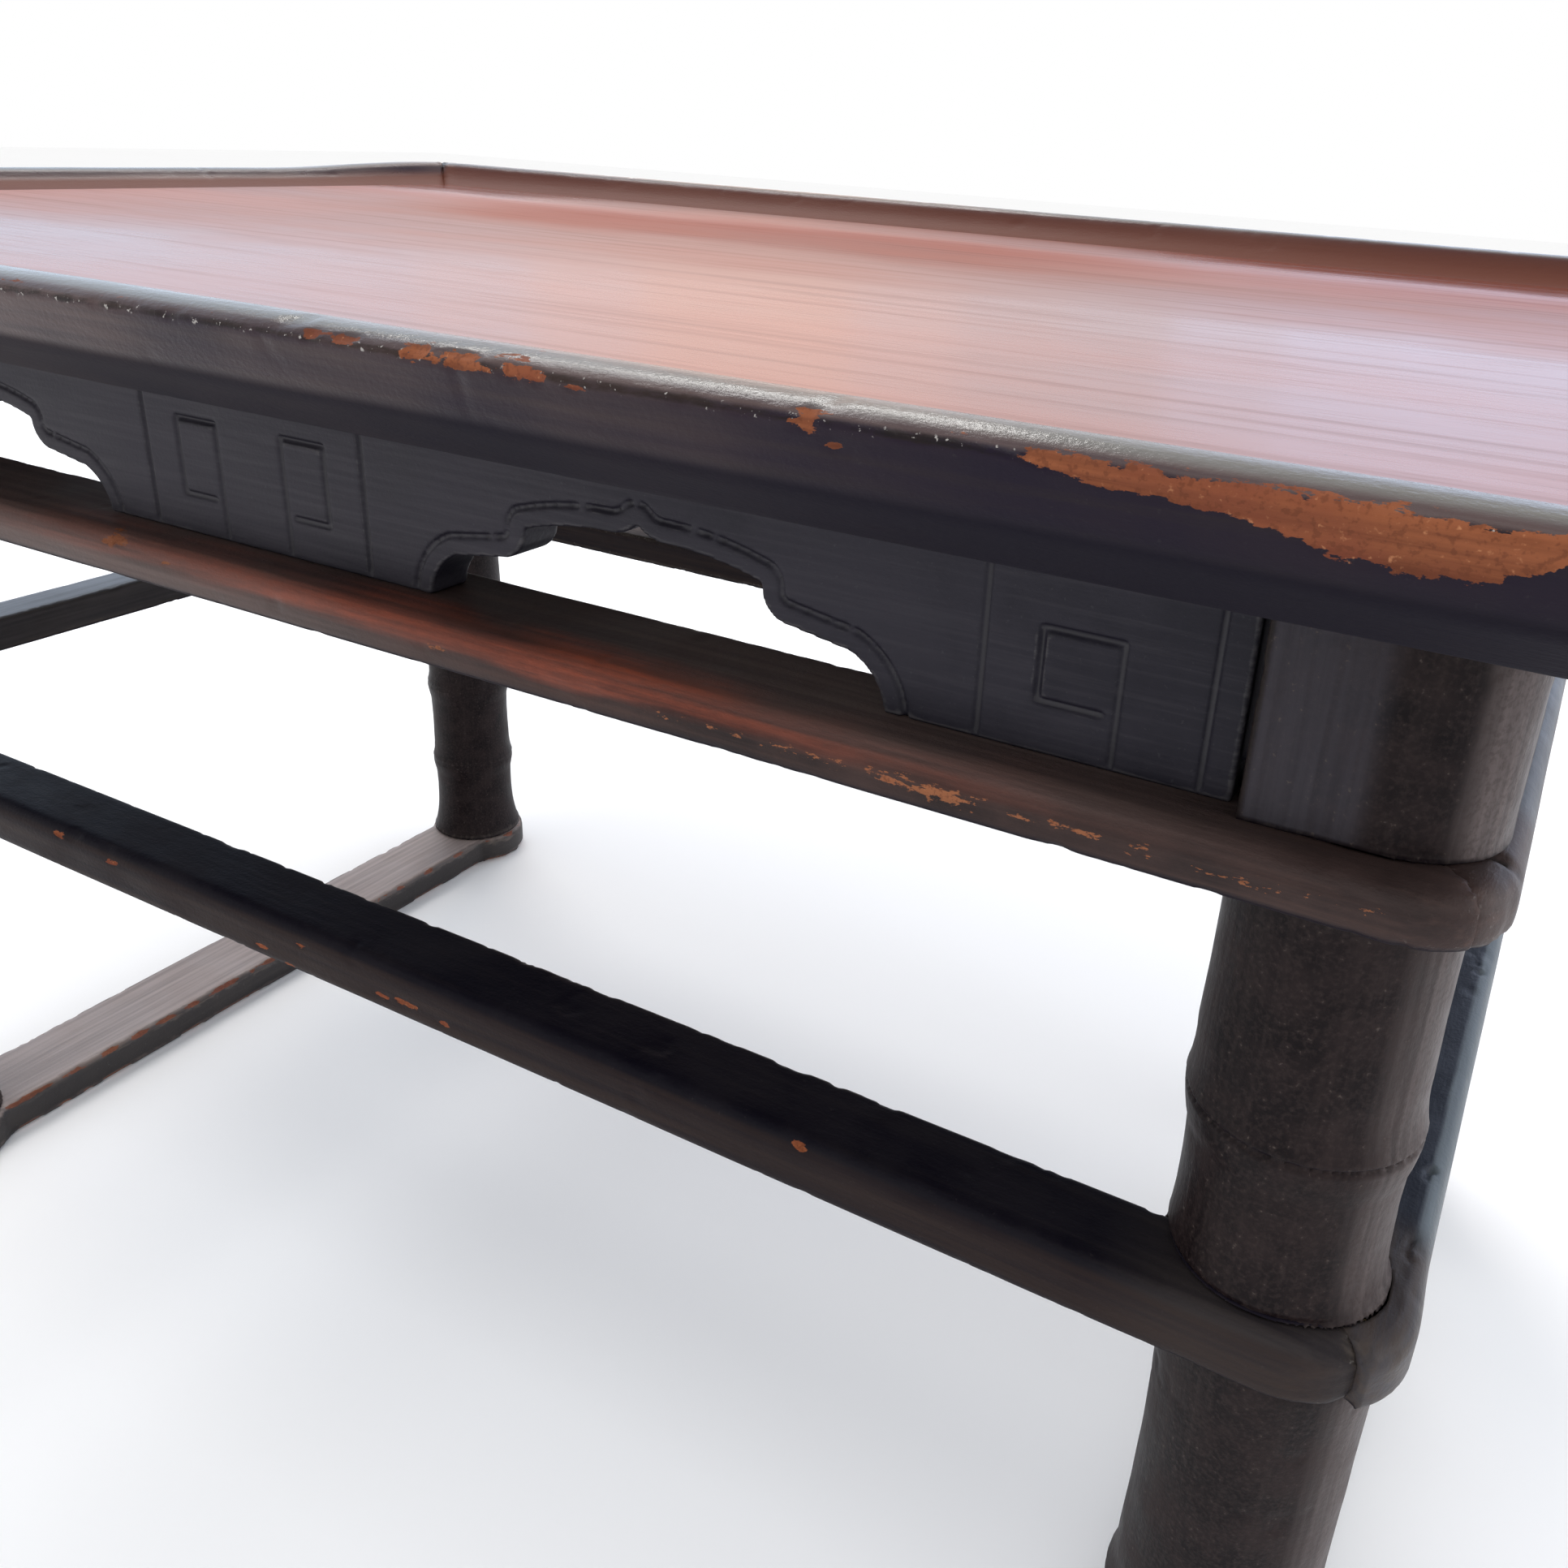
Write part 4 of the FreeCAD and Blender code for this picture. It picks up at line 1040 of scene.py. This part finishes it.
def soft_light(name, place, aim, width, height, colour, radiance):
    """A flat light of even brightness, aimed at a point; it isn't seen itself."""
    lamp = bpy.data.lights.new(name, "AREA")
    lamp.shape = "RECTANGLE"
    lamp.size = width
    lamp.size_y = height
    lamp.color = colour
    lamp.energy = radiance * math.pi * width * height
    light = bpy.data.objects.new(name, lamp)
    light.location = place
    light.rotation_euler = (Vector(aim) - Vector(place)).to_track_quat("-Z", "Y").to_euler()
    light.visible_camera = False
    bpy.context.scene.collection.objects.link(light)


# Panels of the backdrop: turns to the left of straight back, in degrees
PANEL_AWAY = 1.8
PANEL_MIDDLE = 0.8
PANEL_HEIGHT = 1.4
PANEL_STEP = 5
PANELS_FROM, PANELS_TO = -45, 95
COOL_LEFT = np.array([0.1, 0.3, 0.57])
COOL_BACK = np.array([0.3, 0.47, 0.85])
WARM = np.array([0.5, 0.18, 0.08])
WARM_TURN, WARM_SPREAD = 32, 14
DIM_TURN, DIM_SPREAD, DIM = 17, 8, 0.65


def backdrop():
    """A soft curved backdrop of narrow panels: cool on both sides and warm between, left of straight back."""
    for turn in range(PANELS_FROM, PANELS_TO, PANEL_STEP):
        warm = math.exp(-((turn - WARM_TURN) / WARM_SPREAD) ** 2)
        cool = COOL_LEFT if turn > WARM_TURN else COOL_BACK
        light = warm * WARM + (1 - warm) * cool
        light = light * (1 - DIM * math.exp(-((turn - DIM_TURN) / DIM_SPREAD) ** 2))
        angle = math.radians(turn)
        place = (-PANEL_AWAY * math.sin(angle), PANEL_AWAY * math.cos(angle), PANEL_MIDDLE)
        width = 2 * PANEL_AWAY * math.tan(math.radians(PANEL_STEP / 2))
        aim = (0, 0, PANEL_MIDDLE)
        strength = light.max()
        soft_light(f"panel_{turn}", place, aim, width, PANEL_HEIGHT, light / strength, strength)


TABLE_MIDDLE = (0, 0, 0.25)
FRONT_FLOOR = (0, -0.3, 0)


def studio():
    world = bpy.data.worlds.new("studio")
    world.use_nodes = True
    sky = world.node_tree.nodes["Background"]
    sky.inputs["Color"].default_value = (1, 1, 1, 1)
    sky.inputs["Strength"].default_value = 1.0
    bpy.context.scene.world = world
    bpy.context.scene.view_settings.view_transform = "Standard"
    backdrop()
    soft_light(
        "right_window", place=(1.5, 0.3, 0.6), aim=TABLE_MIDDLE, width=0.9, height=0.9,
        colour=(0.9, 0.94, 1.0), radiance=2.0,
    )
    soft_light(
        "overhead", place=(-0.9, 0.9, 1.5), aim=TABLE_MIDDLE, width=1.0, height=0.22,
        colour=(1.0, 0.98, 0.96), radiance=16.0,
    )
    soft_light(
        "front_fill", place=(0.0, -0.9, 1.9), aim=FRONT_FLOOR, width=1.6, height=1.2,
        colour=(1.0, 1.0, 1.0), radiance=1.9,
    )


# Camera fitted to the photograph: its lens in pixels of the photograph's frame, its place in metres and
# its turns in degrees
FRAME_PIXELS = 1932
FOCAL_PIXELS = 1695.1
CENTRE_PIXELS = (1067.0, 892.4)
SENSOR = 36.0
NEAR = 0.01
CAMERA_PLACE = (0.19323, -0.26654, 0.28505)
CAMERA_YAW, CAMERA_PITCH, CAMERA_ROLL = 27.31, -23.58, 3.30


def photo_camera():
    lens = bpy.data.cameras.new("camera")
    lens.sensor_width = SENSOR
    lens.lens = FOCAL_PIXELS / FRAME_PIXELS * SENSOR
    lens.shift_x = 0.5 - CENTRE_PIXELS[0] / FRAME_PIXELS
    lens.shift_y = CENTRE_PIXELS[1] / FRAME_PIXELS - 0.5
    lens.clip_start = NEAR
    camera = bpy.data.objects.new("camera", lens)
    turn = Matrix.Rotation(math.radians(CAMERA_YAW), 4, "Z")
    turn = turn @ Matrix.Rotation(math.radians(90 + CAMERA_PITCH), 4, "X")
    turn = turn @ Matrix.Rotation(math.radians(CAMERA_ROLL), 4, "Z")
    camera.matrix_world = Matrix.Translation(CAMERA_PLACE) @ turn
    bpy.context.scene.collection.objects.link(camera)
    bpy.context.scene.camera = camera


build_table()
pale_floor()
studio()
photo_camera()
